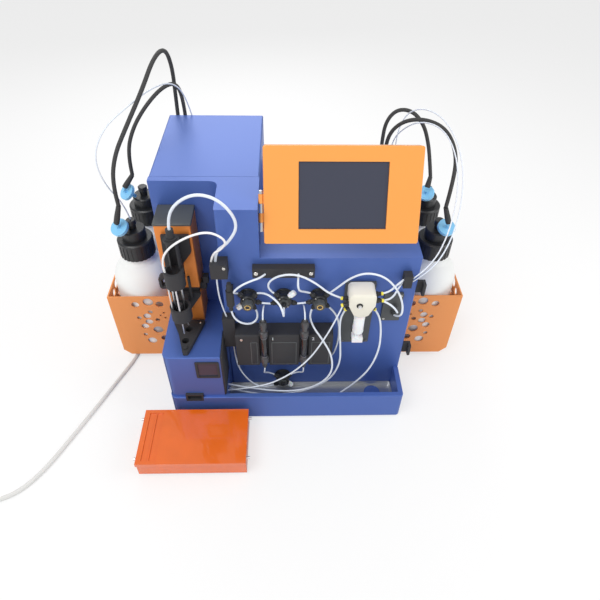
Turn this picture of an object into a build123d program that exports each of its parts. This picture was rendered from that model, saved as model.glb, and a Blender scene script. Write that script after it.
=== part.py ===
"""Bench instrument that separates magnetically labelled cells.

A stepped housing carries the fluidics on its front panel: tube clamps, four valves, a
magnet unit with two columns and a syringe pump.  A lifting needle head stands in the
notch of the tower, a tilted touch screen is hinged beside it, perforated holders on
both sides hold the reagent bottles, and a sampler stage stands in front.

X runs to the right, Y to the back and Z up.  Depths are measured from the face of the
front panel, positive to the back; the origin lies on the bench under the middle of the
instrument, so that face stands at y = panel_y.
"""
from build123d import *
import math
import os

# Housing
body_width = 376
body_depth = 266
tower_width = 151
tower_height = 374
deck_height = 295
recess_width = 95
recess_depth = 68
recess_radius = 12
fascia_depth = 79
seam = 0.5
wall = 3
edge_radius = 2.4
panel_thick = 3
foot_height = 3
foot_radius = 9
foot_inset = 26
floor_thick = 3
fit = 0.3
running = 0.05

# Base with its drip trough
base_reach = 60
base_top = 57
base_left_step = 2
base_corner = 12
trough_wall = 8
trough_floor = 8
tray_thick = 1.2
tray_rim = 10
drain_radius = 14
drain_from_right = 33
drain_from_panel = 17

# Nose below the needle head
nose_width = 89
nose_reach = 56
nose_top = 151
cheek_thick = 2.5
window_width = 36
window_low = 105
window_high = 142
window_from_cheek = 5
bezel_rim = 3.5
bezel_depth = 12
port_width = 28
port_low = 48.5
port_high = 65
port_centre = -147

# Needle arm
arm_left = -179
arm_width = 50
arm_front = 21.5
arm_joint_low = 210
arm_joint_high = 222
arm_top = 334
arm_wall = 5
cap_thick = 3
cap_lip = 1
lug_reach = 12
lug_height = 24
lug_depth = 10
screw_x = -154
screw_depth = 45
screw_radius = 4
nut_radius = 10
nut_length = 20
lift_down = 38
lift_up = 6
slot_width = 14
neck_width = 9
carriage_gap = 2
carriage_thick = 4
carriage_top = 322
ring_x = -154
ring_depth = -12
ring_outer = 14
ring_wall = 4
ring_low = 258
ring_high = 285
sleeve_x = -151
sleeve_depth = -5
sleeve_outer = 8
sleeve_bore = 6
sleeve_high = 335
sleeve_nut_radius = 5.2
sleeve_nut_height = 13
guide_outer = 15
guide_wall = 3
guide_low = 193
guide_high = 217
guide_floor = 4
guide_plate_top = 214
needle_radius = 0.8
sheath_radius = 1.3
sheath_low = 199
needle_spots = [(-152.8, -24), (-150.5, -1), (-164.5, -17), (-163, -4)]
needle_tips = [170, 164]

# Wash station on the nose
wash_thick = 7
wash_outline = [(-177, 16), (-127, 16), (-144, -43), (-147, -51), (-154, -51), (-166, -9)]
well_spots = [(-152.5, -27.5), (-150.5, -4)]
well_radius = 5.5
cup_wall = 2
cup_depth = 42

# Tube holders on the panel
clamp_left = -103.5
clamp_width = 23
clamp_from_deck = 20.4
clamp_height = 24.4
clamp_reach = 20
bar_left = -47.6
bar_width = 86
bar_from_deck = 26
bar_height = 16.5
bar_reach = 11
clip_left = 164
clip_width = 12
clip_from_deck = 44
clip_height = 21
clip_reach = 14
hook_reach = 12
hook_thick = 4
hook_height = 22
hooks_from_deck = [67, 201]

# Valves
valve_from_deck = 68
valve_spots = [-56, -4.5, 47]
valve_reach = 28
drain_valve_x = -7
drain_valve_height = 40
drain_valve_reach = 24
flange_radius = 13
flange_thick = 2.5
valve_radius = 11
valve_body_length = 18
cap_flat_radius = 8.5
fitting_depth = 12
fitting_radius = 4
fitting_reach = 20
fitting_step = 2
plug_radius = 4.4
plug_overhang = 3

# Inline filter and bubble sensor
filter_x = -80
filter_reach = 20
filter_low = 216
filter_high = 268
filter_radius = 5.6
sensor_left = -96.5
sensor_width = 18.2
sensor_low = 128
sensor_high = 190
sensor_reach = 14

# Magnet unit and columns
magnet_left = -78
magnet_width = 148
magnet_low = 98
magnet_high = 167
magnet_reach = 27
column_spots = [-35, 26]
column_axis = 30
groove_width = 15
groove_depth = 4.2
column_radius = 5
column_low = 97
column_high = 205
magnet_block = 14
magnet_block_height = 40
magnet_skin = 3
magnet_travel = 14
yoke_thick = 4
yoke_height = 24
guide_rod_radius = 2.5
guide_rod_pitch = 100

# Syringe pump
pump_x = 106
pump_width = 44.5
pump_height = 127
pump_from_deck = 42
pump_plate = 4
pump_module_depth = 70
pump_slot_width = 12
syringe_reach = 24
syringe_radius = 8
syringe_wall = 1.6
syringe_base = 44
syringe_length = 42
head_base = 88
head_height = 42
head_width = 38
head_reach = 34
plunger_travel = 21
plunger_radius = 3
yoke_base = 29
pump_yoke = 9
pump_screw_depth = 20
pump_screw_radius = 3
pump_shelf = 5

# Port plate
ports_left = 142.5
ports_width = 28.5
ports_height = 56
ports_from_deck = 64
ports_thick = 4
port_steps = [31, 19]
port_x = 160

# Bottles and holders
holder_front = 70
holder_clear = 3.5
holder_top = 155
holder_low = 12
holder_sheet = 2
holder_chamfer = 12
bottle_from_side = 6
bottle_radius = 47
bottle_pitch = 95
neck_radius = 21
neck_top = 236
shoulder_low = 160
neck_low = 206
ring_cap_radius = 28
ring_cap_low = 211
ring_cap_height = 30
ring_cap_ribs = 24
insert_radius = 19
insert_height = 17
spigot_radius = 7.5
spigot_height = 16
filter_disc_radius = 14
filter_disc_thick = 5

# Screen
screen_left = -30
screen_width = 204
screen_height = 125.3
screen_tilt = 24.5
screen_edge_depth = -4.5
screen_above_deck = 28.5
screen_thick = 22
screen_radius = 3
display_from_left = 45
display_low = 19.5
display_width = 115.2
display_height = 86.4
display_inset = 2
glass_thick = 1.4
hinge_radius = 3.1
hinge_pin_radius = 1.5
hinge_from_face = 3.4
hinge_low = 16
knuckle = 12
knuckle_gap = 0.3

# Sampler stage
sampler_left = -226
sampler_width = 164
sampler_front = -164
sampler_depth = 95
sampler_foot = 3
sampler_body_top = 27
sampler_top = 38
sampler_deck_thick = 3.5
sampler_lip = 7
sampler_wall = 2.5
rail_radius = 2.2
rail_height = 31
rail_inset = 13
rail_overhang = 5
channel_width = 22
channel_from_left = 8
channel_depth = 1.6

# Power, electronics and cooling
inlet_x = -130
inlet_height = 32
inlet_width = 48
inlet_tall = 27
rocker_x = -90
rocker_width = 13
rocker_tall = 19
fan_x = 95
fan_height = 150
fan_radius = 38
hub_radius = 15
blade_count = 7
fan_length = 18
vents_from_deck = 65
vent_count = 7
vent_pitch = 10
vent_length = 76
vent_width = 4
rocker_pin = 1.2
supply_width = 110
supply_depth = 85
supply_height = 45
supply_from_back = 31
supply_left = -165
spacer_height = 4
board_left = -30
board_width = 180
board_depth = 120
board_from_back = 36
board_thick = 1.6
board_raise = 6
board_inset = 6
port_reach = 14
left_port_spots = [(-176, 352), (-164, 352), (-152, 352)]
right_port_spots = [(158, 240), (163, 214), (172, 232), (176, 214)]

# Tubing and cords
thick_line = 4
line = 3
thin_line = 2.4
hose = 6
bottle_line = 2
cord = 7
coil_radius = 40
coil_thick = 21
coil_height = 14
coil_spot = (-468.9, -255.5)

half = body_width / 2
tower_right = -half + tower_width
recess_right = -half + recess_width
base_left = -half + base_left_step
nose_right = base_left + nose_width
floor_top = foot_height + floor_thick
arm_right = arm_left + arm_width
arm_back = recess_depth - fit
panel_y = -(body_depth + port_reach + sampler_front) / 2

clamp_low = deck_height - clamp_from_deck
bar_low = deck_height - bar_from_deck
clip_low = deck_height - clip_from_deck
hook_levels = [deck_height - drop for drop in hooks_from_deck]
valve_height = deck_height - valve_from_deck
pump_low = deck_height - pump_from_deck - pump_height
yoke_low = pump_low + yoke_base
syringe_low = pump_low + syringe_base
syringe_high = syringe_low + syringe_length
head_low = pump_low + head_base
head_high = head_low + head_height
ports_low = deck_height - ports_from_deck - ports_height
port_levels = [ports_low + step for step in port_steps]
screen_edge_height = deck_height + screen_above_deck
bottle_x = half + bottle_from_side + bottle_radius
holder_outer = bottle_x + bottle_radius + holder_sheet + holder_clear


def facing(depth):
    """Plane that faces the front at this depth: x is X, y is Z."""
    return Plane.XZ.offset(-(panel_y + depth))


def level(height):
    """Level plane at this height: x is X, y is the depth."""
    return Plane((0, panel_y, height))


def across(x):
    """Upright plane that faces +X at this x: x is the depth, y is Z."""
    return Plane(origin=(x, panel_y, 0), x_dir=(0, 1, 0), z_dir=(1, 0, 0))


def at(x, depth, height):
    """Point in the model's frame."""
    return Vector(x, panel_y + depth, height)


def slab(plane, a, b, amount, mode=Mode.ADD, radius=0):
    """Rectangle from a[0] to a[1] and b[0] to b[1] on the plane, extruded."""
    with BuildSketch(plane) as face:
        with Locations(((a[0] + a[1]) / 2, (b[0] + b[1]) / 2)):
            if radius:
                RectangleRounded(a[1] - a[0], b[1] - b[0], radius)
            else:
                Rectangle(a[1] - a[0], b[1] - b[0])
    extrude(face.sketch, amount=amount, dir=plane.z_dir, mode=mode)


def disc(plane, centre, radius, amount, mode=Mode.ADD):
    """Round post or hole that starts on the plane."""
    with BuildSketch(plane) as face:
        with Locations(centre):
            Circle(radius)
    extrude(face.sketch, amount=amount, dir=plane.z_dir, mode=mode)


def outline(plane, points, amount, mode=Mode.ADD):
    """Straight-sided outline on the plane, extruded."""
    with BuildSketch(plane) as face:
        with BuildLine():
            Polyline(*points, close=True)
        make_face()
    extrude(face.sketch, amount=amount, dir=plane.z_dir, mode=mode)


def turned(origin, direction, profile, mode=Mode.ADD):
    """Body of revolution: the profile lists (radius, distance along) pairs."""
    along = Vector(*direction).normalized()
    helper = Vector(1, 0, 0) if abs(along.X) < 0.9 else Vector(0, 0, 1)
    side = along.cross(helper).normalized()
    plane = Plane(origin=origin, x_dir=side, z_dir=side.cross(along))
    with BuildSketch(plane) as face:
        with BuildLine():
            Polyline(*profile, close=True)
        make_face()
    revolve(face.sketch, axis=Axis(origin, along), mode=mode)


def stepped_housing(inset, low):
    """Points of the housing's outline seen from the front, set in by a wall."""
    return [
        (-half + inset, low),
        (-half + inset, tower_height - inset),
        (tower_right - inset, tower_height - inset),
        (tower_right - inset, deck_height - inset),
        (half - inset, deck_height - inset),
        (half - inset, low),
    ]


def outer_edges(part, plane_normal):
    """Long edges of a housing that run along this axis, without the concave ones."""
    return [
        edge
        for edge in part.edges().filter_by(plane_normal)
        if abs(edge.center().X - tower_right) > 1 or edge.center().Z > deck_height + 1
    ]


# Housing

os.makedirs("parts", exist_ok=True)

with BuildPart() as front_fascia:
    with BuildSketch(level(floor_top)) as tower_plan:
        with BuildLine():
            Polyline(
                (-half, recess_depth),
                (recess_right, recess_depth),
                (recess_right, 0),
                (tower_right, 0),
                (tower_right, fascia_depth),
                (-half, fascia_depth),
                close=True,
            )
        make_face()
        corner = tower_plan.vertices().sort_by_distance((recess_right, recess_depth))[0]
        fillet(corner, recess_radius)
    extrude(amount=tower_height - floor_top)
    slab(level(floor_top), (tower_right, half), (0, fascia_depth), deck_height - floor_top)
    fillet(
        [
            edge
            for edge in front_fascia.edges().filter_by(Axis.Z)
            if edge.center().Y < panel_y + 1 and abs(edge.center().X - tower_right) > 1
        ],
        edge_radius,
    )
    inner = level(floor_top)
    slab(
        inner,
        (-half + wall, tower_right - wall),
        (recess_depth + wall, fascia_depth),
        tower_height - wall - floor_top,
        Mode.SUBTRACT,
    )
    slab(
        inner,
        (recess_right + wall, tower_right - wall),
        (wall, fascia_depth),
        tower_height - wall - floor_top,
        Mode.SUBTRACT,
    )
    slab(
        inner,
        (recess_right + wall, half - wall),
        (wall, fascia_depth),
        deck_height - wall - floor_top,
        Mode.SUBTRACT,
    )
    magnet_opening = (
        (column_spots[0] + column_spots[1]) / 2 - guide_rod_pitch / 2 - 6,
        (column_spots[0] + column_spots[1]) / 2 + guide_rod_pitch / 2 + 6,
    )
    magnet_middle = (magnet_low + magnet_high) / 2
    magnet_window = (
        magnet_middle - magnet_block_height / 2 - 2,
        magnet_middle + magnet_block_height / 2 + 2,
    )
    slab(facing(wall), magnet_opening, magnet_window, wall, Mode.SUBTRACT)
    slab(
        facing(wall),
        (pump_x - pump_width / 2 + 2, pump_x + pump_width / 2 - 2),
        (pump_low + 2, pump_low + pump_height - 2),
        wall,
        Mode.SUBTRACT,
    )
front_fascia.part.label = "front_fascia"
export_step(front_fascia.part, "parts/front_fascia.step")

with BuildPart() as rear_cover:
    back_start = fascia_depth + seam
    cover_length = body_depth - panel_thick - back_start
    outline(facing(back_start), stepped_housing(0, floor_top), -cover_length)
    fillet(outer_edges(rear_cover, Axis.Y), edge_radius)
    outline(facing(back_start), stepped_housing(wall, floor_top), -cover_length, Mode.SUBTRACT)
rear_cover.part.label = "rear_cover"
export_step(rear_cover.part, "parts/rear_cover.step")

with BuildPart() as rear_panel:
    outline(facing(body_depth - panel_thick), stepped_housing(0, floor_top), -panel_thick)
    fillet(outer_edges(rear_panel, Axis.Y), edge_radius)
    back = facing(body_depth - panel_thick)
    through = -panel_thick
    slab(
        back,
        (inlet_x - inlet_width / 2, inlet_x + inlet_width / 2),
        (inlet_height - inlet_tall / 2, inlet_height + inlet_tall / 2),
        through,
        Mode.SUBTRACT,
    )
    slab(
        back,
        (rocker_x - rocker_width / 2 - fit, rocker_x + rocker_width / 2 + fit),
        (inlet_height - rocker_tall / 2 - fit, inlet_height + rocker_tall / 2 + fit),
        through,
        Mode.SUBTRACT,
    )
    pivot = (body_depth - panel_thick / 2, inlet_height)
    disc(
        across(rocker_x - rocker_width / 2 - fit),
        pivot,
        rocker_pin,
        rocker_width + 2 * fit,
    )
    with BuildSketch(back) as grille:
        with Locations((fan_x, fan_height)):
            for ring in range(3):
                Circle(fan_radius - 8 * ring - 2)
                Circle(fan_radius - 8 * ring - 6, mode=Mode.SUBTRACT)
            for rotation in (0, 60, 120):
                Rectangle(2 * fan_radius, 5, rotation=rotation, mode=Mode.SUBTRACT)
    extrude(amount=through, mode=Mode.SUBTRACT)
    with BuildSketch(back) as vents:
        with Locations((tower_right - tower_width / 2, deck_height - vents_from_deck)):
            with GridLocations(0, vent_pitch, 1, vent_count):
                SlotOverall(vent_length, vent_width)
    extrude(amount=through, mode=Mode.SUBTRACT)
rear_panel.part.label = "rear_panel"
export_step(rear_panel.part, "parts/rear_panel.step")

with BuildPart() as base_pan:
    ground = level(foot_height)
    nose_back = recess_depth - fit
    slab(ground, (base_left, half), (-base_reach, 0), base_top - foot_height)
    front_corners = base_pan.edges().filter_by(Axis.Z).group_by(Axis.Y)[0].sort_by(Axis.X)
    fillet(front_corners[0], base_corner)
    fillet(front_corners[-1], base_corner / 2)
    slab(ground, (base_left, recess_right - fit), (0, nose_back), base_top - foot_height)
    block_corner = at(recess_right - fit, nose_back, base_top / 2)
    fillet(base_pan.edges().filter_by(Axis.Z).sort_by_distance(block_corner)[0], recess_radius)
    rim = base_pan.edges().filter_by_position(Axis.Z, base_top - 0.1, base_top + 0.1)
    fillet(rim.group_by(Axis.Y)[0], 1.2)
    slab(ground, (-half, half), (0, body_depth), floor_thick)
    slab(
        level(trough_floor),
        (nose_right, half - trough_wall),
        (-base_reach + trough_wall, 0),
        base_top,
        Mode.SUBTRACT,
    )
    slab(
        level(floor_top),
        (base_left + wall, nose_right - wall),
        (-base_reach + wall, nose_back - wall),
        base_top - wall - floor_top,
        Mode.SUBTRACT,
    )
    slab(
        level(base_top - wall),
        (base_left + 3 * wall, nose_right - 3 * wall),
        (-base_reach + 5 * wall, nose_back - 3 * wall),
        wall,
        Mode.SUBTRACT,
    )
    port_sides = (port_centre - port_width / 2, port_centre + port_width / 2)
    slab(facing(-base_reach + wall), port_sides, (port_low, base_top), wall, Mode.SUBTRACT)
    slab(facing(-base_reach + 5 * wall), port_sides, (port_low, base_top), 4 * wall, Mode.SUBTRACT)
base_pan.part.label = "base_pan"
export_step(base_pan.part, "parts/base_pan.step")

with BuildPart() as drip_tray:
    tray_x = (nose_right + fit, half - trough_wall - fit)
    tray_y = (-base_reach + trough_wall + fit, -fit)
    slab(level(trough_floor), tray_x, tray_y, tray_rim, radius=4)
    slab(
        level(trough_floor + tray_thick),
        (tray_x[0] + tray_thick, tray_x[1] - tray_thick),
        (tray_y[0] + tray_thick, tray_y[1] - tray_thick),
        tray_rim,
        Mode.SUBTRACT,
        radius=3,
    )
    drain_spot = (half - trough_wall - drain_from_right, -drain_from_panel)
    disc(level(trough_floor), drain_spot, drain_radius, tray_thick, Mode.SUBTRACT)
drip_tray.part.label = "drip_tray"
export_step(drip_tray.part, "parts/drip_tray.step")

with BuildPart() as feet:
    foot_x = half - foot_inset
    for spot in (
        (-foot_x, foot_inset - base_reach),
        (foot_x, foot_inset - base_reach),
        (-foot_x, body_depth - foot_inset),
        (foot_x, body_depth - foot_inset),
    ):
        disc(level(0), spot, foot_radius, foot_height)
    for x in (sampler_left + foot_inset / 2, sampler_left + sampler_width - foot_inset / 2):
        for y in (sampler_front + foot_inset / 2, sampler_front + sampler_depth - foot_inset / 2):
            disc(level(0), (x, y), foot_radius * 0.6, sampler_foot)
feet.part.label = "feet"
export_step(feet.part, "parts/feet.step")

# Nose with the code reader and the docking port

shell_right = nose_right - cheek_thick
window_x = (nose_right - window_from_cheek - window_width, nose_right - window_from_cheek)
window_z = (window_low, window_high)

with BuildPart() as nose_cover:
    slab(level(base_top), (base_left, shell_right), (-nose_reach, 0), nose_top - base_top)
    fillet(nose_cover.edges().filter_by(Axis.Z).group_by(Axis.Y)[0].sort_by(Axis.X)[0], base_corner)
    slab(level(base_top), (base_left, recess_right - fit), (0, nose_back), nose_top - base_top)
    block_corner = at(recess_right - fit, nose_back, nose_top)
    fillet(nose_cover.edges().filter_by(Axis.Z).sort_by_distance(block_corner)[0], recess_radius)
    top_edges = nose_cover.edges().filter_by_position(Axis.Z, nose_top - 0.1, nose_top + 0.1)
    fillet([edge for edge in top_edges if edge.center().Y < panel_y - 1], 1.6)
    inner_height = nose_top - wall - base_top
    inner_x = (base_left + wall, shell_right - wall)
    slab(level(base_top), inner_x, (wall - nose_reach, nose_back - wall), inner_height, Mode.SUBTRACT)
    slab(
        facing(wall - nose_reach),
        (window_x[0] + bezel_rim - 1, window_x[1] - bezel_rim + 1),
        (window_low + bezel_rim - 1, window_high - bezel_rim + 1),
        wall,
        Mode.SUBTRACT,
    )
    slab(facing(wall - nose_reach), port_sides, (base_top, port_high), wall, Mode.SUBTRACT)
    for spot in well_spots:
        disc(level(nose_top - wall), spot, well_radius + cup_wall + fit, wall, Mode.SUBTRACT)
nose_cover.part.label = "nose_cover"
export_step(nose_cover.part, "parts/nose_cover.step")

with BuildPart() as nose_side_plate:
    slab(across(shell_right), (1 - nose_reach, -fit), (base_top, nose_top - 1), cheek_thick)
    fillet(nose_side_plate.edges().filter_by(Axis.X).group_by(Axis.Y)[0], 4)
nose_side_plate.part.label = "nose_side_plate"
export_step(nose_side_plate.part, "parts/nose_side_plate.step")

with BuildPart() as reader_bezel:
    slab(facing(-nose_reach), window_x, window_z, 1.6, radius=2)
    inset = bezel_rim - 1 + fit
    slab(
        facing(-nose_reach),
        (window_x[0] + inset, window_x[1] - inset),
        (window_low + inset, window_high - inset),
        -bezel_depth,
    )
    slab(
        facing(-nose_reach - 1.6),
        (window_x[0] + bezel_rim, window_x[1] - bezel_rim),
        (window_low + bezel_rim, window_high - bezel_rim),
        -bezel_depth,
        Mode.SUBTRACT,
    )
reader_bezel.part.label = "reader_bezel"
export_step(reader_bezel.part, "parts/reader_bezel.step")

with BuildPart() as reader_window:
    slab(
        facing(-nose_reach),
        (window_x[0] + bezel_rim, window_x[1] - bezel_rim),
        (window_low + bezel_rim, window_high - bezel_rim),
        -glass_thick,
    )
reader_window.part.label = "reader_window"
export_step(reader_window.part, "parts/reader_window.step")

with BuildPart() as dock_port:
    port_back = -base_reach + 4 * wall
    slab(
        facing(port_back),
        (port_sides[0] + fit, port_sides[1] - fit),
        (port_low + fit, port_high - fit),
        4 * wall,
    )
    slab(
        facing(-base_reach),
        (port_sides[0] + 3, port_sides[1] - 3),
        (port_low + 3, port_high - 3),
        -6,
        Mode.SUBTRACT,
    )
dock_port.part.label = "dock_port"
export_step(dock_port.part, "parts/dock_port.step")

# Needle arm

arm_x = (arm_left, arm_right)
cavity_x = (arm_left + arm_wall, arm_right - arm_wall)
cavity_y = (arm_front + arm_wall, arm_back - arm_wall)
slot_x = (screw_x - slot_width / 2, screw_x + slot_width / 2)
nut_high = ring_high + nut_length - 2
nut_low = nut_high - nut_length

with BuildPart() as arm_base_block:
    slab(level(nose_top), arm_x, (arm_front, arm_back), arm_joint_low - nose_top)
    fillet(arm_base_block.edges().filter_by(Axis.Z), 2)
arm_base_block.part.label = "arm_base_block"
export_step(arm_base_block.part, "parts/arm_base_block.step")

with BuildPart() as arm_collar:
    slab(
        level(arm_joint_low),
        (arm_left + 2, arm_right - 2),
        (arm_front + 2, arm_back - 2),
        arm_joint_high - arm_joint_low,
    )
    lug_y = arm_front + lug_depth
    lug_low = arm_joint_low - 1
    lug_high = lug_low + lug_height
    outline(
        facing(lug_y),
        [
            (arm_left + 2, arm_joint_low),
            (arm_left - fit, arm_joint_low),
            (arm_left - lug_reach + 3, lug_low),
            (arm_left - lug_reach, lug_low + 4),
            (arm_left - lug_reach, lug_high - 4),
            (arm_left - lug_reach + 3, lug_high),
            (arm_left - fit, lug_high),
            (arm_left - fit, arm_joint_high),
            (arm_left + 2, arm_joint_high),
        ],
        -lug_depth,
    )
    slab(
        facing(lug_y),
        (arm_left - lug_reach + 4, arm_left - fit),
        (lug_low + 5, lug_high - 5),
        -lug_depth,
        Mode.SUBTRACT,
    )
    outline(
        facing(lug_y),
        [
            (arm_right - 2, arm_joint_low),
            (arm_right + lug_reach - 4, arm_joint_low),
            (arm_right + lug_reach - 4, lug_low + lug_height / 2),
            (arm_right + lug_reach, lug_low + lug_height / 2),
            (arm_right + lug_reach, lug_high),
            (arm_right + lug_reach - 8, lug_high),
            (arm_right + lug_reach - 8, arm_joint_high),
            (arm_right - 2, arm_joint_high),
        ],
        -lug_depth,
    )
    screw_spot = (screw_x, screw_depth)
    screw_low = arm_joint_low + 4
    disc(level(screw_low), screw_spot, screw_radius + running, arm_top, Mode.SUBTRACT)
arm_collar.part.label = "arm_collar"
export_step(arm_collar.part, "parts/arm_collar.step")

with BuildPart() as arm_column:
    slab(level(arm_joint_high), arm_x, (arm_front, arm_back), arm_top - arm_joint_high)
    fillet(arm_column.edges().filter_by(Axis.Z), 2)
    slab(
        level(arm_joint_high + arm_wall),
        cavity_x,
        cavity_y,
        arm_top - arm_joint_high - 2 * arm_wall,
        Mode.SUBTRACT,
    )
    slab(
        facing(cavity_y[0]),
        slot_x,
        (nut_low - lift_down - 4, nut_high + lift_up + 4),
        arm_wall,
        Mode.SUBTRACT,
    )
    disc(level(arm_joint_high), screw_spot, screw_radius + 2, arm_wall, Mode.SUBTRACT)
    disc(level(arm_top - arm_wall), screw_spot, screw_radius + running, arm_wall, Mode.SUBTRACT)
arm_column.part.label = "arm_column"
export_step(arm_column.part, "parts/arm_column.step")

with BuildPart() as arm_cap:
    slab(
        level(arm_top),
        (arm_left - cap_lip, arm_right + cap_lip),
        (arm_front - cap_lip, arm_back),
        cap_thick,
        radius=2,
    )
    fillet(arm_cap.edges().group_by(Axis.Z)[-1], 1.2)
arm_cap.part.label = "arm_cap"
export_step(arm_cap.part, "parts/arm_cap.step")

with BuildPart() as lift_screw:
    disc(level(screw_low + fit), screw_spot, screw_radius, arm_top - fit - screw_low - fit)
lift_screw.part.label = "lift_screw"
export_step(lift_screw.part, "parts/lift_screw.step")

plate_front = arm_front - carriage_gap - carriage_thick
ring_spot = (ring_x, ring_depth)
sleeve_spot = (sleeve_x, sleeve_depth)

with BuildPart() as needle_carriage:
    outline(
        facing(plate_front + carriage_thick),
        [
            (arm_left + 9, carriage_top),
            (arm_right - 3.5, carriage_top),
            (arm_right - 3.5, carriage_top - 30),
            (arm_right - 20.5, ring_low + 10),
            (arm_right - 22, ring_low + 4),
            (arm_left + 7, ring_low + 4),
        ],
        carriage_thick,
    )
    slab(
        facing(plate_front),
        (sleeve_x - 4, sleeve_x + 4),
        (ring_high - 4, carriage_top - 2),
        plate_front - sleeve_depth - sleeve_bore,
    )
    disc(level(ring_low), ring_spot, ring_outer, ring_high - ring_low)
    slab(
        facing(plate_front),
        (ring_x - 8, ring_x + 8),
        (ring_low + 4, ring_high),
        plate_front - ring_depth - ring_outer + 1,
    )
    disc(level(ring_high - 5), sleeve_spot, sleeve_outer, sleeve_high - ring_high + 5)
    disc(level(sleeve_high - 5), sleeve_spot, sleeve_outer + 2.5, 3)
    disc(level(sleeve_high), sleeve_spot, sleeve_nut_radius, sleeve_nut_height)
    disc(level(ring_high), sleeve_spot, sleeve_bore, sleeve_high - ring_high - 6, Mode.SUBTRACT)
    disc(level(ring_low), ring_spot, ring_outer - ring_wall, ring_high - ring_low, Mode.SUBTRACT)
    slab(
        level(ring_high),
        (sleeve_x - sleeve_bore + 1, sleeve_x + sleeve_bore - 1),
        (sleeve_depth - sleeve_outer - 1, sleeve_depth),
        sleeve_high - ring_high - 10,
        Mode.SUBTRACT,
    )
    disc(level(sleeve_high + 4), sleeve_spot, thick_line / 2 + 0.6, sleeve_nut_height, Mode.SUBTRACT)
    slab(
        facing(plate_front + carriage_thick),
        (screw_x - neck_width / 2, screw_x + neck_width / 2),
        (nut_low + 2, nut_high - 2),
        plate_front + carriage_thick - screw_depth + nut_radius - 3,
    )
    disc(level(nut_low), screw_spot, nut_radius, nut_length)
    disc(level(nut_low), screw_spot, screw_radius + running, nut_length, Mode.SUBTRACT)
needle_carriage.part.label = "needle_carriage"
export_step(needle_carriage.part, "parts/needle_carriage.step")

with BuildPart() as needles:
    for spot, tip in zip(needle_spots, needle_tips):
        disc(level(sheath_low), spot, sheath_radius, ring_low - sheath_low)
        disc(level(tip), spot, needle_radius, sheath_low - tip)
    for spot in needle_spots[2:]:
        disc(level(sheath_low + 4), spot, sheath_radius, ring_low - sheath_low - 4)
needles.part.label = "needles"
export_step(needles.part, "parts/needles.step")

with BuildPart() as needle_guide:
    outline(
        facing(arm_front),
        [
            (arm_left + 7, guide_plate_top),
            (arm_right, guide_plate_top),
            (arm_right, guide_plate_top - 6),
            (arm_right - 20, nose_top + 25),
            (arm_left + 14, nose_top + 25),
            (arm_left + 7, guide_low),
        ],
        arm_front - plate_front - 2,
    )
    disc(level(guide_low), ring_spot, guide_outer, guide_high - guide_low)
    slab(
        facing(plate_front + 2),
        (ring_x - 8, ring_x + 8),
        (guide_low + 2, guide_high - 4),
        plate_front + 2 - ring_depth - guide_outer + 1,
    )
    disc(
        level(guide_low + guide_floor),
        ring_spot,
        guide_outer - guide_wall,
        guide_high - guide_low,
        Mode.SUBTRACT,
    )
    disc(level(guide_low), ring_spot, 3.5, guide_high - guide_low + 3)
    for spot in needle_spots:
        disc(level(guide_low), spot, sheath_radius + 0.5, guide_high - guide_low, Mode.SUBTRACT)
    turned(at(ring_x - 4, ring_depth - 2, guide_low), (0, 0, -1), [(0, 0), (3, 0), (1.5, 6), (0, 6)])
    for x in (ring_x - 12, ring_x + 13):
        disc(level(guide_high - 6), (x, plate_front - 4), 2, ring_low - guide_high - lift_down + 38)
        slab(
            facing(plate_front + 2),
            (x - 2, x + 2),
            (guide_high - 8, guide_high - 4),
            6,
        )
needle_guide.part.label = "needle_guide"
export_step(needle_guide.part, "parts/needle_guide.step")

with BuildPart() as wash_station:
    outline(level(nose_top), wash_outline, wash_thick)
    fillet(wash_station.edges().filter_by(Axis.Z), 2)
    for spot in well_spots:
        disc(level(nose_top - cup_depth + wash_thick), spot, well_radius + cup_wall, cup_depth - 1)
    for spot in well_spots:
        disc(
            level(nose_top - cup_depth + wash_thick + cup_wall),
            spot,
            well_radius,
            cup_depth,
            Mode.SUBTRACT,
        )
    disc(level(nose_top + wash_thick), (-150.5, -43), 3, 4)
wash_station.part.label = "wash_station"
export_step(wash_station.part, "parts/wash_station.step")

# Tube holders

clamp_right = clamp_left + clamp_width
clamp_high = clamp_low + clamp_height

with BuildPart() as tube_clamps:
    slab(facing(0), (clamp_left, clamp_right), (clamp_low, clamp_high), clamp_reach)
    slab(facing(0), (bar_left, bar_left + bar_width), (bar_low, bar_low + bar_height), bar_reach)
    slab(facing(0), (clip_left, clip_left + clip_width), (clip_low, clip_low + clip_height), clip_reach)
    for z in hook_levels:
        slab(across(half), (2, 2 + hook_thick), (z, z + hook_height), hook_reach)
        slab(
            across(half + hook_reach - hook_thick),
            (2 - hook_thick * 2, 2),
            (z, z + hook_height),
            hook_thick,
        )
tube_clamps.part.label = "tube_clamps"
export_step(tube_clamps.part, "parts/tube_clamps.step")

# Valves


def radial_fitting(centre, angle, radius, start, end):
    """Tube fitting that stands out of a valve's side at this angle."""
    turned(
        centre,
        (math.cos(math.radians(angle)), 0, math.sin(math.radians(angle))),
        [
            (0, start - 3),
            (radius - 0.8, start - 3),
            (radius - 0.8, start + 2),
            (radius, start + 2),
            (radius, end - fitting_step),
            (radius - 1.4, end - fitting_step),
            (radius - 1.4, end),
            (0, end),
        ],
    )


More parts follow.
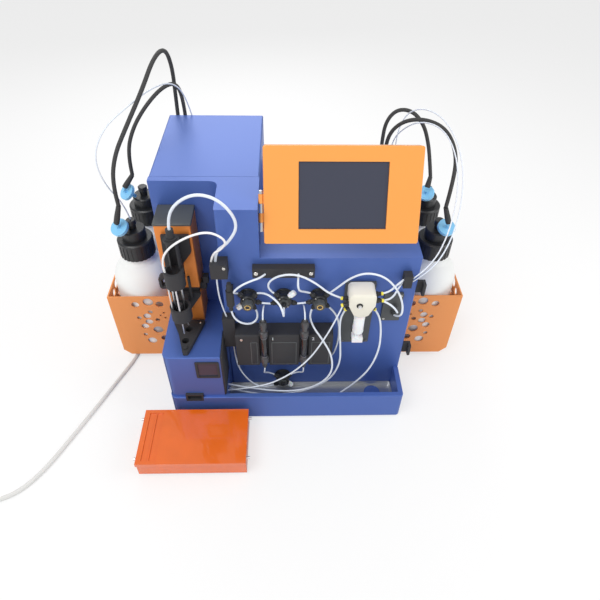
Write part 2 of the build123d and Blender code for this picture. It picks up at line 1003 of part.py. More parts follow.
def valve(x, height, reach, angles, front_port):
    """Round valve on the panel with side fittings and a cap or a port in front."""
    turned(
        at(x, 0, height),
        (0, -1, 0),
        [
            (0, 0),
            (flange_radius, 0),
            (flange_radius, flange_thick),
            (valve_radius, flange_thick),
            (valve_radius, valve_body_length - 1),
            (valve_radius - 1, valve_body_length),
            (0, valve_body_length),
        ],
    )
    front = facing(-valve_body_length)
    if front_port:
        disc(front, (x, height), fitting_radius, reach - valve_body_length)
    else:
        with BuildSketch(front) as cap:
            with Locations((x, height)):
                RegularPolygon(cap_flat_radius, 6, rotation=30)
        extrude(cap.sketch, amount=reach - valve_body_length, dir=front.z_dir)
    for angle in angles:
        centre = at(x, -fitting_depth, height)
        radial_fitting(centre, angle, fitting_radius, valve_radius, fitting_reach)


def closing_plug(x, height, angle):
    """White plug that closes an unused side port of a valve."""
    away = (math.cos(math.radians(angle)), 0, math.sin(math.radians(angle)))
    start = valve_radius + running
    tip = fitting_reach + plug_overhang
    profile = [(0, start), (plug_radius - 1, start), (plug_radius, start + 3)]
    profile += [(plug_radius, tip - 1), (plug_radius - 1, tip), (0, tip)]
    turned(at(x, -fitting_depth, height), away, profile)


with BuildPart() as valve_1:
    valve(valve_spots[0], valve_height, valve_reach, (135, 45, -15, -60), False)
    closing_plug(valve_spots[0], valve_height, 225)
valve_1.part.label = "valve_1"
export_step(valve_1.part, "parts/valve_1.step")

with BuildPart() as valve_2:
    valve(valve_spots[1], valve_height, valve_reach, (135, 200, -20), True)
    closing_plug(valve_spots[1], valve_height, 45)
valve_2.part.label = "valve_2"
export_step(valve_2.part, "parts/valve_2.step")

with BuildPart() as valve_3:
    valve(valve_spots[2], valve_height, valve_reach, (135, 45, 195, 240, -45), False)
valve_3.part.label = "valve_3"
export_step(valve_3.part, "parts/valve_3.step")

with BuildPart() as valve_4:
    valve(drain_valve_x, drain_valve_height, drain_valve_reach, (135, 45, 225), True)
    closing_plug(drain_valve_x, drain_valve_height, -45)
valve_4.part.label = "valve_4"
export_step(valve_4.part, "parts/valve_4.step")

with BuildPart() as line_sensors:
    filter_length = filter_high - filter_low
    turned(
        at(filter_x, -filter_reach, filter_low),
        (0, 0, 1),
        [
            (0, 0),
            (3, 0),
            (3, 6),
            (filter_radius, 10),
            (filter_radius, filter_length - 14),
            (filter_radius - 1.5, filter_length - 14),
            (filter_radius - 1.5, filter_length - 5),
            (3, filter_length - 3),
            (3, filter_length),
            (0, filter_length),
        ],
    )
    slab(facing(0), (filter_x - 3, filter_x + 3), (filter_low + 24, filter_low + 32), filter_reach - 3)
    sensor_z = (sensor_low, sensor_high)
    slab(facing(0), (sensor_left, sensor_left + sensor_width), sensor_z, sensor_reach)
line_sensors.part.label = "line_sensors"
export_step(line_sensors.part, "parts/line_sensors.step")

# Magnet unit and columns

magnet_right = magnet_left + magnet_width
groove_back = magnet_reach - groove_depth

with BuildPart() as magnet_housing:
    slab(facing(0), (magnet_left, magnet_right), (magnet_low, magnet_high), magnet_reach)
    fillet(magnet_housing.edges().filter_by(Axis.X).group_by(Axis.Y)[0].sort_by(Axis.Z)[-1], 3)
    for x in column_spots:
        slab(
            facing(-groove_back),
            (x - groove_width / 2, x + groove_width / 2),
            (magnet_low, magnet_high),
            groove_depth,
            Mode.SUBTRACT,
        )
    slab(facing(0), magnet_opening, magnet_window, groove_back - magnet_skin, Mode.SUBTRACT)
    magnet_centre = sum(column_spots) / 2
    for x in (magnet_centre - guide_rod_pitch / 2, magnet_centre + guide_rod_pitch / 2):
        disc(
            facing(magnet_travel + 16),
            (x, magnet_middle),
            guide_rod_radius,
            magnet_travel + 16 + groove_back - magnet_skin,
        )
magnet_housing.part.label = "magnet_housing"
export_step(magnet_housing.part, "parts/magnet_housing.step")

with BuildPart() as separation_columns:
    for x in column_spots:
        turned(
            at(x, -column_axis, column_low),
            (0, 0, 1),
            [
                (0, 0),
                (2.4, 0),
                (2.4, 4),
                (4.4, 4),
                (4.4, 14),
                (6.9, 15),
                (6.9, 25),
                (column_radius, 26),
                (column_radius, 74),
                (6.9, 75),
                (6.9, 84),
                (4.6, 85),
                (4.6, 92),
                (5.8, 92),
                (5.8, 104),
                (3, 105),
                (3, column_high - column_low),
                (0, column_high - column_low),
            ],
        )
separation_columns.part.label = "separation_columns"
export_step(separation_columns.part, "parts/separation_columns.step")

with BuildPart() as magnet_slide:
    tip = groove_back - magnet_skin - fit
    for x in column_spots:
        slab(
            facing(magnet_block - tip),
            (x - magnet_block / 2, x + magnet_block / 2),
            (magnet_middle - magnet_block_height / 2, magnet_middle + magnet_block_height / 2),
            magnet_block,
        )
    rod_x = guide_rod_pitch / 2 + guide_rod_radius + 2.5
    slab(
        facing(magnet_block - tip + yoke_thick),
        (magnet_centre - rod_x, magnet_centre + rod_x),
        (magnet_middle - yoke_height / 2, magnet_middle + yoke_height / 2),
        yoke_thick,
    )
    for x in (magnet_centre - guide_rod_pitch / 2, magnet_centre + guide_rod_pitch / 2):
        disc(
            facing(magnet_block - tip + yoke_thick),
            (x, magnet_middle),
            guide_rod_radius + running,
            yoke_thick,
            Mode.SUBTRACT,
        )
magnet_slide.part.label = "magnet_slide"
export_step(magnet_slide.part, "parts/magnet_slide.step")

# Syringe pump

pump_left = pump_x - pump_width / 2
pump_right = pump_x + pump_width / 2
pump_high = pump_low + pump_height
module_x = (pump_left + 2 + fit, pump_right - 2 - fit)
pump_slot = (pump_x - pump_slot_width / 2, pump_x + pump_slot_width / 2)
yoke_high = yoke_low + pump_yoke
pump_screw_spot = (pump_x, pump_screw_depth)

with BuildPart() as pump_frame:
    slab(facing(0), (pump_left, pump_right), (pump_low, pump_high), pump_plate, radius=1.5)
    slab(facing(0), module_x, (pump_low + 2 + fit, pump_high - 2 - fit), -pump_module_depth)
    slab(
        facing(pump_module_depth - pump_shelf),
        (module_x[0] - 1, module_x[1] + 1),
        (pump_low + 2 + fit + pump_shelf, pump_high - 2 - fit - pump_shelf),
        pump_module_depth - pump_shelf,
        Mode.SUBTRACT,
    )
    slab(
        facing(0),
        pump_slot,
        (yoke_low - plunger_travel - 1, yoke_high + 6),
        pump_plate,
        Mode.SUBTRACT,
    )
    disc(
        level(pump_low + 4),
        pump_screw_spot,
        pump_screw_radius + running,
        pump_height,
        Mode.SUBTRACT,
    )
    slab(
        level(pump_low + 2 + fit + pump_shelf),
        (pump_x - 18, pump_x + 18),
        (pump_module_depth - 42, pump_module_depth - pump_shelf),
        40,
    )
pump_frame.part.label = "pump_frame"
export_step(pump_frame.part, "parts/pump_frame.step")

with BuildPart() as pump_head:
    head_middle = head_low + 0.36 * (head_high - head_low)
    with BuildSketch(facing(-pump_plate)) as head_face:
        with BuildLine():
            half_head = head_width / 2
            lobe = half_head - 8
            l1 = Line((pump_x - half_head, head_high), (pump_x + half_head, head_high))
            l2 = Line(l1 @ 1, (pump_x + half_head, head_middle + 5))
            l3 = Line(l2 @ 1, (pump_x + lobe, head_low + 5))
            l4 = ThreePointArc(l3 @ 1, (pump_x, head_low - 2), (pump_x - lobe, head_low + 5))
            l5 = Line(l4 @ 1, (pump_x - half_head, head_middle + 5))
            l6 = Line(l5 @ 1, l1 @ 0)
        make_face()
        fillet(head_face.vertices().group_by(Axis.Y)[-1], 5)
    extrude(amount=head_reach - pump_plate)
    fillet(pump_head.edges().group_by(Axis.Y)[0], 2)
    for x, depth, z, way in (
        (pump_x + half_head - 1, 20, head_high - 10, (1, 0, 0.1)),
        (pump_x + half_head - 1, 29, head_high - 14, (1, 0, 0)),
        (pump_x + half_head - 1, 20, head_middle + 7, (1, 0, -0.2)),
        (pump_x - half_head + 1, 20, head_middle + 9, (-1, 0, 0)),
        (pump_x - half_head + 1, 29, head_middle + 7, (-1, 0, -0.3)),
        (pump_x + lobe + 3, 20, head_low + 9, (0.7, 0, -0.7)),
        (pump_x - lobe - 3, 20, head_low + 9, (-0.7, 0, -0.7)),
    ):
        turned(at(x, -depth, z), way, [(0, -3), (4, -3), (4, 3), (3, 4), (3, 9), (0, 9)])
    turned(at(pump_x - 4, -head_reach, head_middle + 8), (0, -1, 0), [(0, -2), (4, -2), (4, 5), (0, 5)])
pump_head.part.label = "pump_head"
export_step(pump_head.part, "parts/pump_head.step")

with BuildPart() as syringe_barrel:
    turned(
        at(pump_x, -syringe_reach, syringe_low),
        (0, 0, 1),
        [
            (plunger_radius + 0.4, 0),
            (syringe_radius - 2, 0),
            (syringe_radius, 4),
            (syringe_radius, syringe_high - syringe_low - 6),
            (syringe_radius - 2, syringe_high - syringe_low - 4),
            (syringe_radius - 2, syringe_high - syringe_low),
            (0, syringe_high - syringe_low),
            (0, syringe_high - syringe_low - 6),
            (syringe_radius - syringe_wall, syringe_high - syringe_low - 6),
            (syringe_radius - syringe_wall, 3),
            (plunger_radius + 0.4, 3),
        ],
    )
syringe_barrel.part.label = "syringe_barrel"
export_step(syringe_barrel.part, "parts/syringe_barrel.step")

with BuildPart() as pump_plunger:
    piston_high = syringe_high - 6 - fit
    bore = syringe_radius - syringe_wall - 0.2
    turned(
        at(pump_x, -syringe_reach, yoke_low),
        (0, 0, 1),
        [
            (0, 0),
            (plunger_radius, 0),
            (plunger_radius, piston_high - 5 - yoke_low),
            (bore, piston_high - 5 - yoke_low),
            (bore, piston_high - yoke_low),
            (0, piston_high - yoke_low),
        ],
    )
    slab(
        facing(-syringe_reach + 7),
        (pump_x - 8, pump_x + 8),
        (yoke_low, yoke_high),
        14,
    )
    slab(
        facing(pump_screw_depth),
        (pump_slot[0] + 1, pump_slot[1] - 1),
        (yoke_low, yoke_high),
        pump_screw_depth + syringe_reach - 6,
    )
    disc(level(yoke_low), pump_screw_spot, pump_screw_radius + 4, pump_yoke)
    disc(
        level(yoke_low),
        pump_screw_spot,
        pump_screw_radius + running,
        pump_yoke,
        Mode.SUBTRACT,
    )
pump_plunger.part.label = "pump_plunger"
export_step(pump_plunger.part, "parts/pump_plunger.step")

with BuildPart() as pump_screw:
    disc(
        level(pump_low + 4 + fit),
        pump_screw_spot,
        pump_screw_radius,
        pump_height - 8,
    )
pump_screw.part.label = "pump_screw"
export_step(pump_screw.part, "parts/pump_screw.step")

with BuildPart() as port_plate:
    slab(
        facing(0),
        (ports_left, ports_left + ports_width),
        (ports_low, ports_low + ports_height),
        ports_thick,
        radius=2,
    )
    for z in port_levels:
        turned(
            at(port_x, -ports_thick, z),
            (0, -1, 0),
            [(0, -1), (4.5, -1), (4.5, 3), (3.2, 3), (3.2, 7), (0, 7)],
        )
port_plate.part.label = "port_plate"
export_step(port_plate.part, "parts/port_plate.step")

# Bottle holders and bottles

holder_depth = 2 * bottle_radius + bottle_pitch + 3 + 2 * holder_sheet
holder_holes = [
    (-229, 143, 8.5),
    (-251, 137, 6.5),
    (-211, 138, 6.5),
    (-229, 120, 4),
    (-236, 110, 6.5),
    (-250, 106, 4),
    (-220, 101, 4),
    (-235, 96, 6.5),
    (-244, 85, 6.5),
    (-223, 76, 8.5),
    (-197, 92, 6.5),
    (-207, 118, 2),
    (-213, 112, 2),
    (-206, 106, 2),
    (-247, 64, 4),
    (-215, 55, 6.5),
    (-238, 48, 8),
    (-201, 60, 4),
]


def bottle_holder(side):
    """Perforated sheet box that hangs on one side of the housing."""
    inner_x = half + fit
    outer_x = holder_outer
    front = facing(holder_front + holder_depth)
    body = [
        (side * inner_x, holder_low),
        (side * (outer_x - holder_chamfer), holder_low),
        (side * outer_x, holder_low + holder_chamfer),
        (side * outer_x, holder_top),
        (side * inner_x, holder_top),
    ]
    outline(front, body, holder_depth)
    cavity = [
        (side * (inner_x + holder_sheet), holder_low + holder_sheet),
        (side * (outer_x - holder_chamfer - 1), holder_low + holder_sheet),
        (side * (outer_x - holder_sheet), holder_low + holder_chamfer + 1),
        (side * (outer_x - holder_sheet), holder_top + 1),
        (side * (inner_x + holder_sheet), holder_top + 1),
    ]
    inner_front = facing(holder_front + holder_depth - holder_sheet)
    outline(inner_front, cavity, holder_depth - 2 * holder_sheet, Mode.SUBTRACT)
    with BuildSketch(facing(holder_front + holder_sheet + 1)) as holes:
        for x, z, radius in holder_holes:
            with Locations((-side * x, z)):
                Circle(radius)
    extrude(holes.sketch, amount=holder_sheet + 2, dir=Vector(0, -1, 0), mode=Mode.SUBTRACT)
    with BuildSketch(across(side * (outer_x + 1))) as side_holes:
        for y in (holder_front + 48, holder_front + 48 + bottle_pitch):
            for x, z, radius in holder_holes[:11]:
                with Locations((y - x + holder_holes[0][0], z)):
                    Circle(radius)
    extrude(
        side_holes.sketch,
        amount=holder_sheet + 2,
        dir=Vector(-side, 0, 0),
        mode=Mode.SUBTRACT,
    )


with BuildPart() as bottle_holder_left:
    bottle_holder(-1)
bottle_holder_left.part.label = "bottle_holder_left"
export_step(bottle_holder_left.part, "parts/bottle_holder_left.step")

with BuildPart() as bottle_holder_right:
    bottle_holder(1)
bottle_holder_right.part.label = "bottle_holder_right"
export_step(bottle_holder_right.part, "parts/bottle_holder_right.step")

front_bottle = holder_front + holder_sheet + 1 + bottle_radius
bottle_spots = [
    (side * bottle_x, front_bottle + row * bottle_pitch) for side in (-1, 1) for row in (0, 1)
]
bottle_low = holder_low + holder_sheet

with BuildPart() as bottles:
    for x, y in bottle_spots:
        axis_plane = Plane(origin=at(x, y, 0), x_dir=(1, 0, 0), z_dir=(0, -1, 0))
        with BuildSketch(axis_plane) as half_section:
            with BuildLine():
                b1 = Polyline(
                    (0, bottle_low),
                    (bottle_radius - 8, bottle_low),
                    (bottle_radius, bottle_low + 14),
                    (bottle_radius, shoulder_low),
                )
                b2 = ThreePointArc(
                    b1 @ 1,
                    (bottle_radius - 6, shoulder_low + 24),
                    (neck_radius + 8, neck_low - 8),
                )
                b3 = Polyline(
                    b2 @ 1,
                    (neck_radius + 3, neck_low),
                    (neck_radius + 3, neck_low + 3),
                    (neck_radius, neck_low + 3),
                    (neck_radius, neck_top),
                    (0, neck_top),
                    (0, bottle_low),
                )
            make_face()
        revolve(axis=Axis(at(x, y, 0), (0, 0, 1)))
bottles.part.label = "bottles"
export_step(bottles.part, "parts/bottles.step")

insert_top = ring_cap_low + ring_cap_height + insert_height


def bottle_cap(x, y):
    """Ribbed screw ring with the port insert and its spigot, hollow for the neck."""
    neck_room = neck_top - ring_cap_low + fit
    insert_base = ring_cap_height
    spigot_base = insert_base + insert_height
    turned(
        at(x, y, ring_cap_low),
        (0, 0, 1),
        [
            (neck_radius + fit, 0),
            (ring_cap_radius, 0),
            (ring_cap_radius, ring_cap_height - 2),
            (ring_cap_radius - 2, ring_cap_height),
            (insert_radius, insert_base),
            (insert_radius, spigot_base - 2),
            (insert_radius - 1.5, spigot_base),
            (spigot_radius - 1.5, spigot_base),
            (spigot_radius - 1.5, spigot_base + spigot_height / 2),
            (spigot_radius, spigot_base + spigot_height / 2),
            (spigot_radius, spigot_base + spigot_height - 1),
            (spigot_radius - 1, spigot_base + spigot_height),
            (0, spigot_base + spigot_height),
            (0, neck_room),
            (neck_radius + fit, neck_room),
        ],
    )
    with BuildSketch(level(ring_cap_low)) as grooves:
        with Locations((x, y)):
            with PolarLocations(ring_cap_radius + 0.4, ring_cap_ribs):
                Rectangle(2.4, 3)
    extrude(
        grooves.sketch,
        amount=ring_cap_height - 5,
        dir=Vector(0, 0, 1),
        mode=Mode.SUBTRACT,
    )


with BuildPart() as bottle_caps:
    for x, y in bottle_spots:
        bottle_cap(x, y)
bottle_caps.part.label = "bottle_caps"
export_step(bottle_caps.part, "parts/bottle_caps.step")

filter_spots = [(-253, 100), (-262, 198), (247, 100), (234, 196)]
filter_level = 273
boot_tops = [(-243, 92, 318), (-249, 203, 302), (236, 94, 314), (237, 200, 302)]
stem_radius = 3


def filter_stem(spot, bottle):
    """Start point, direction and length from a filter disc to its bottle's insert."""
    disc_centre = at(spot[0], spot[1], filter_level)
    aim = Vector(bottle[0] - spot[0], bottle[1] - spot[1], 0).normalized()
    foot_x = bottle[0] - aim.X * (insert_radius - 6)
    foot_y = bottle[1] - aim.Y * (insert_radius - 6)
    reach = at(foot_x, foot_y, insert_top) - disc_centre
    drop = -reach.normalized().Z
    stem_gap = (fit + stem_radius * math.sqrt(1 - drop * drop)) / drop
    return disc_centre, reach.normalized(), reach.length - stem_gap


with BuildPart() as bottle_filters:
    for spot, bottle in zip(filter_spots, bottle_spots):
        centre, aim, length = filter_stem(spot, bottle)
        turned(
            centre,
            aim,
            [
                (0, -9),
                (stem_radius, -9),
                (stem_radius, -filter_disc_thick / 2),
                (filter_disc_radius, -filter_disc_thick / 2),
                (filter_disc_radius, filter_disc_thick / 2),
                (4, filter_disc_thick / 2),
                (stem_radius, length),
                (0, length),
            ],
        )
bottle_filters.part.label = "bottle_filters"
export_step(bottle_filters.part, "parts/bottle_filters.step")

with BuildPart() as hose_boots:
    for spot, bottle, top in zip(filter_spots, bottle_spots, boot_tops):
        centre, aim, length = filter_stem(spot, bottle)
        start = centre - aim * 9
        reach = at(*top) - start
        turned(
            at(*top),
            -reach,
            [(0, 0), (3.4, 0), (4.4, reach.length * 0.55), (4.4, reach.length - 5), (0, reach.length - 5)],
        )
hose_boots.part.label = "hose_boots"
export_step(hose_boots.part, "parts/hose_boots.step")

# Screen

tilt = math.radians(screen_tilt)
screen_plane = Plane(
    origin=at(screen_left, screen_edge_depth, screen_edge_height),
    x_dir=(1, 0, 0),
    z_dir=(0, -math.cos(tilt), math.sin(tilt)),
)
display_x = (display_from_left, display_from_left + display_width)
display_y = (display_low, display_low + display_height)
hinge_x = (tower_right - screen_left) / 2 - 0.1
hinge_axis_start = screen_plane.from_local_coords(Vector(hinge_x, hinge_low, -hinge_from_face))
hinge_direction = screen_plane.y_dir
pitch = knuckle + knuckle_gap

with BuildPart() as screen_housing:
    slab(screen_plane, (0, screen_width), (0, screen_height), -screen_thick, radius=screen_radius)
    fillet(screen_housing.faces().sort_by(Axis(screen_plane.origin, screen_plane.z_dir))[-1].edges(), 1.2)
    slab(screen_plane, display_x, display_y, -display_inset - glass_thick, Mode.SUBTRACT)
    for index in (1, 3):
        foot = hinge_axis_start + hinge_direction * (index * pitch)
        turned(
            foot,
            hinge_direction,
            [
                (hinge_pin_radius + running, 0),
                (hinge_radius, 0),
                (hinge_radius, knuckle),
                (hinge_pin_radius + running, knuckle),
            ],
        )
        slab(
            screen_plane.offset(-hinge_from_face + 1),
            (hinge_x + hinge_pin_radius + 0.6, 1),
            (hinge_low + index * pitch, hinge_low + index * pitch + knuckle),
            -2,
        )
screen_housing.part.label = "screen_housing"
export_step(screen_housing.part, "parts/screen_housing.step")

with BuildPart() as screen_glass:
    slab(
        screen_plane.offset(-display_inset),
        (display_x[0] + fit, display_x[1] - fit),
        (display_y[0] + fit, display_y[1] - fit),
        -glass_thick,
    )
screen_glass.part.label = "screen_glass"
export_step(screen_glass.part, "parts/screen_glass.step")

with BuildPart() as screen_hinge:
    turned(
        hinge_axis_start,
        hinge_direction,
        [
            (0, 0),
            (hinge_radius, 0),
            (hinge_radius, knuckle),
            (hinge_pin_radius, knuckle),
            (hinge_pin_radius, 2 * pitch),
            (hinge_radius, 2 * pitch),
            (hinge_radius, 2 * pitch + knuckle),
            (hinge_pin_radius, 2 * pitch + knuckle),
            (hinge_pin_radius, 4 * pitch),
            (hinge_radius - 0.4, 4 * pitch),
            (hinge_radius - 0.4, 4 * pitch + 4),
            (0, 4 * pitch + 5),
        ],
    )
    leaf_front = screen_plane.offset(-hinge_from_face)
    for index in (0, 2):
        slab(
            leaf_front,
            (tower_right - screen_left, hinge_x - hinge_pin_radius),
            (hinge_low + index * pitch, hinge_low + index * pitch + knuckle),
            -hinge_radius - 2,
        )
    slab(
        leaf_front.offset(-hinge_radius - running),
        (tower_right - screen_left, tower_right - screen_left + 1.2),
        (hinge_low, hinge_low + 2 * pitch + knuckle),
        -14,
    )
screen_hinge.part.label = "screen_hinge"
export_step(screen_hinge.part, "parts/screen_hinge.step")

# Sampler stage

sampler_right = sampler_left + sampler_width
sampler_back = sampler_front + sampler_depth
rail_depths = (sampler_front + rail_inset, sampler_back - rail_inset)
deck_low = sampler_top - sampler_deck_thick

with BuildPart() as sampler_base:
    lip_gap = sampler_wall + 1.2
    body_y = (sampler_front + lip_gap, sampler_back - lip_gap)
    slab(
        level(sampler_foot),
        (sampler_left, sampler_right),
        body_y,
        sampler_body_top - sampler_foot,
    )
    slab(
        level(sampler_foot + sampler_wall),
        (sampler_left + sampler_wall, sampler_right - sampler_wall),
        (body_y[0] + sampler_wall, body_y[1] - sampler_wall),
        sampler_body_top,
        Mode.SUBTRACT,
    )
    for x in (sampler_left, sampler_right - sampler_wall):
        for y in rail_depths:
            slab(
                across(x),
                (y - 5, y + 5),
                (sampler_body_top - 4, rail_height + rail_radius + 0.6),
                sampler_wall,
            )
            disc(
                across(x),
                (y, rail_height),
                rail_radius,
                sampler_wall,
                Mode.SUBTRACT,
            )
sampler_base.part.label = "sampler_base"
export_step(sampler_base.part, "parts/sampler_base.step")

with BuildPart() as sampler_rails:
    for y in rail_depths:
        disc(
            across(sampler_left - rail_overhang),
            (y, rail_height),
            rail_radius,
            sampler_width + 2 * rail_overhang,
        )
sampler_rails.part.label = "sampler_rails"
export_step(sampler_rails.part, "parts/sampler_rails.step")

with BuildPart() as sampler_deck:
    slab(
        level(deck_low),
        (sampler_left, sampler_right),
        (sampler_front, sampler_back),
        sampler_deck_thick,
    )
    for y in (sampler_front, sampler_back - sampler_wall):
        slab(
            level(sampler_top - sampler_lip),
            (sampler_left, sampler_right),
            (y, y + sampler_wall),
            sampler_lip,
        )
    channel_x = (sampler_left + channel_from_left, sampler_left + channel_from_left + channel_width)
    channel_y = (sampler_front + 6, sampler_back - 6)
    slab(level(sampler_top - channel_depth), channel_x, channel_y, channel_depth, Mode.SUBTRACT)
    slab(
        level(sampler_top - channel_depth),
        (sum(channel_x) / 2 - 0.8, sum(channel_x) / 2 + 0.8),
        channel_y,
        channel_depth,
    )
    for x in (sampler_left + sampler_width / 2 - 34, sampler_left + sampler_width / 2 + 34):
        for y in rail_depths:
            slab(
                across(x - 8),
                (y - 5.5, y + 5.5),
                (sampler_body_top + 0.6, deck_low),
                16,
            )
            disc(across(x - 8), (y, rail_height), rail_radius + running, 16, Mode.SUBTRACT)
sampler_deck.part.label = "sampler_deck"
export_step(sampler_deck.part, "parts/sampler_deck.step")

# Power, electronics and cooling

inside_back = body_depth - panel_thick

with BuildPart() as power_supply:
    supply_y = (body_depth - supply_from_back - supply_depth, body_depth - supply_from_back)
    supply_x = (supply_left, supply_left + supply_width)
    slab(level(floor_top + spacer_height), supply_x, supply_y, supply_height)
    for x in (supply_x[0] + 10, supply_x[1] - 10):
        for y in (supply_y[0] + 10, supply_y[1] - 10):
            disc(level(floor_top), (x, y), spacer_height, spacer_height)
power_supply.part.label = "power_supply"
export_step(power_supply.part, "parts/power_supply.step")

with BuildPart() as control_board:
    board_y = (body_depth - board_from_back - board_depth, body_depth - board_from_back)
    board_x = (board_left, board_left + board_width)
    slab(level(floor_top + board_raise), board_x, board_y, board_thick)
    for x in (board_x[0] + board_inset, board_x[1] - board_inset):
        for y in (board_y[0] + board_inset, board_y[1] - board_inset):
            disc(level(floor_top), (x, y), board_inset / 2, board_raise)
    for x0, x1, y0, y1, tall in (
        (50, 80, 40, 70, 3),
        (110, 122, 30, 90, 9),
        (10, 22, 20, 80, 9),
        (140, 160, 40, 56, 12),
    ):
        slab(
            level(floor_top + board_raise + board_thick),
            (board_x[0] + x0, board_x[0] + x1),
            (board_y[0] + y0, board_y[0] + y1),
            tall,
        )
control_board.part.label = "control_board"
export_step(control_board.part, "parts/control_board.step")

fan_front = inside_back - fan_length - 6

with BuildPart() as fan_frame:
    fan_side = 2 * fan_radius + 8
    slab(
        facing(inside_back),
        (fan_x - fan_side / 2, fan_x + fan_side / 2),
        (fan_height - fan_side / 2, fan_height + fan_side / 2),
        fan_length + 6,
        radius=4,
    )
    disc(
        facing(inside_back),
        (fan_x, fan_height),
        fan_radius + 1,
        fan_length + 6,
        Mode.SUBTRACT,
    )
    front_bar = facing(fan_front + 3)
    for rotation in (45, 135):
        with BuildSketch(front_bar) as strut:
            with Locations((fan_x, fan_height)):
                Rectangle(2 * fan_radius + 3, 4, rotation=rotation)
        extrude(amount=3)
    disc(facing(fan_front + fan_length), (fan_x, fan_height), 2, fan_length)
fan_frame.part.label = "fan_frame"
export_step(fan_frame.part, "parts/fan_frame.step")

with BuildPart() as fan_rotor:
    rotor_plane = facing(fan_front + fan_length + 2)
    disc(rotor_plane, (fan_x, fan_height), hub_radius, fan_length - 2)
    for blade in range(blade_count):
        turn = 360 * blade / blade_count
        with BuildSketch(rotor_plane) as blade_face:
            with Locations((fan_x, fan_height)):
                with PolarLocations((hub_radius + fan_radius - 3) / 2, 1, start_angle=turn):
                    Rectangle(fan_radius - hub_radius + 2, 2.6, rotation=22)
        extrude(amount=fan_length - 4)
    disc(rotor_plane, (fan_x, fan_height), 2 + running, fan_length, Mode.SUBTRACT)
fan_rotor.part.label = "fan_rotor"
export_step(fan_rotor.part, "parts/fan_rotor.step")

with BuildPart() as power_inlet:
    inlet_x_span = (inlet_x - inlet_width / 2 + fit, inlet_x + inlet_width / 2 - fit)
    inlet_z_span = (inlet_height - inlet_tall / 2 + fit, inlet_height + inlet_tall / 2 - fit)
    slab(facing(body_depth - 18), inlet_x_span, inlet_z_span, -18)
    slab(
        facing(body_depth),
        (inlet_x_span[0] - 3, inlet_x_span[1] + 3),
        (inlet_z_span[0] - 2, inlet_z_span[1] + 2),
        -2,
        radius=3,
    )
    slab(
        facing(body_depth + 2),
        (inlet_x - 14, inlet_x + 14),
        (inlet_height - 9, inlet_height + 9),
        16,
        Mode.SUBTRACT,
        radius=2,
    )
    for x, z in ((inlet_x - 7, -2), (inlet_x + 7, -2), (inlet_x, 3)):
        pin_z = (inlet_height + z - 2, inlet_height + z + 2)
        slab(facing(body_depth - 15), (x - 1, x + 1), pin_z, -11)
power_inlet.part.label = "power_inlet"
export_step(power_inlet.part, "parts/power_inlet.step")

with BuildPart() as power_switch:
    outline(
        across(rocker_x - rocker_width / 2),
        [
            (body_depth - 9, inlet_height - 6),
            (body_depth - 1, inlet_height - rocker_tall / 2 + 0.4),
            (body_depth + 2.6, inlet_height - rocker_tall / 2 + 0.8),
            (body_depth + 1.2, inlet_height),
            (body_depth + 0.2, inlet_height + rocker_tall / 2 - 0.6),
            (body_depth - 3, inlet_height + rocker_tall / 2 - 0.6),
            (body_depth - 9, inlet_height + 6),
        ],
        rocker_width,
    )
    disc(
        across(rocker_x - rocker_width / 2),
        pivot,
        rocker_pin + running,
        rocker_width,
        Mode.SUBTRACT,
    )
power_switch.part.label = "power_switch"
export_step(power_switch.part, "parts/power_switch.step")

with BuildPart() as hose_ports:
    for x, z in left_port_spots:
        disc(facing(body_depth), (x, z), 5.5, -port_reach)
        disc(level(z), (x, body_depth + port_reach - 6), 3.4, 12)
    for x, y in right_port_spots:
        disc(level(deck_height), (x, y), 6, 6)
        disc(level(deck_height + 6), (x, y), 3.4, 8)
hose_ports.part.label = "hose_ports"
export_step(hose_ports.part, "parts/hose_ports.step")

# Tubing and cords


def bend_radii(points):
    """Largest arc at each corner that its two runs allow."""
    radii = []
    for before, corner, after in zip(points, points[1:], points[2:]):
        first = corner - before
        second = after - corner
        half_turn = math.radians(first.get_angle(second)) / 2
        shorter = min(first.length, second.length)
        radii.append(0.45 * shorter / math.tan(half_turn))
    return radii


def tube(name, diameter, route):
    """Round tube along straight runs joined by arcs; the route lists (x, depth, z)."""
    points = [at(*point) for point in route]
    with BuildLine() as path:
        if len(points) == 2:
            Line(*points)
        else:
            radii = bend_radii(points)
            FilletPolyline(*points, radius=radii)
            print(name, "radii", [round(radius, 1) for radius in radii])
    start = Plane(origin=path.line @ 0, z_dir=path.line % 0)
    with BuildSketch(start) as section:
        Circle(diameter / 2)
    sweep(section.sketch, path=path.line)
    print(name, "length", round(sum(edge.length for edge in path.edges()), 1))


carriage_line = [
    (-151, -5, 339.5),
    (-151, -6, 362),
    (-137, -13, 392),
    (-108, -20, 412),
    (-78, -24, 404),
    (-59, -22, 368),
    (-76, -17, 334),
    (-94.5, -11, 317),
    (-96, -10, 299),
]
rinse_line = [
    (-164.5, -17, 285.4),
    (-166, -18, 306),
    (-152, -22, 331),
    (-125, -26, 352),
    (-96, -29, 363),
    (-75, -29, 348),
    (-84, -23, 329),
    (-97.5, -17, 318),
    (-101.5, -11, 299),
]
uptake_line = [(-97, -10, 274.6), (-97.5, -11, 250), (-95, -12, 220), (-90, -8, 190)]
sensor_line = [
    (-84, -8, 128),
    (-83, -10, 104),
    (-79, -14, 76),
    (-66, -18, 50),
    (-50, -18, 31),
    (-36, -15, 23),
    (-21.1, -12, 25.9),
]
bar_line_left = [
    (-30, -11, 276),
    (-36, -20, 277.5),
    (-47, -25, 277),
    (-59, -28, 273),
    (-69, -29.5, 266),
    (-74, -27, 256),
    (-72, -19, 247.5),
    (-70.1, -12, 241.1),
]
bar_line_right = [
    (16, -11, 276),
    (15.2, -20, 273.5),
    (15.2, -25, 263.5),
    (18, -22, 254),
    (25, -16, 247.5),
    (32.9, -12, 241.1),
]
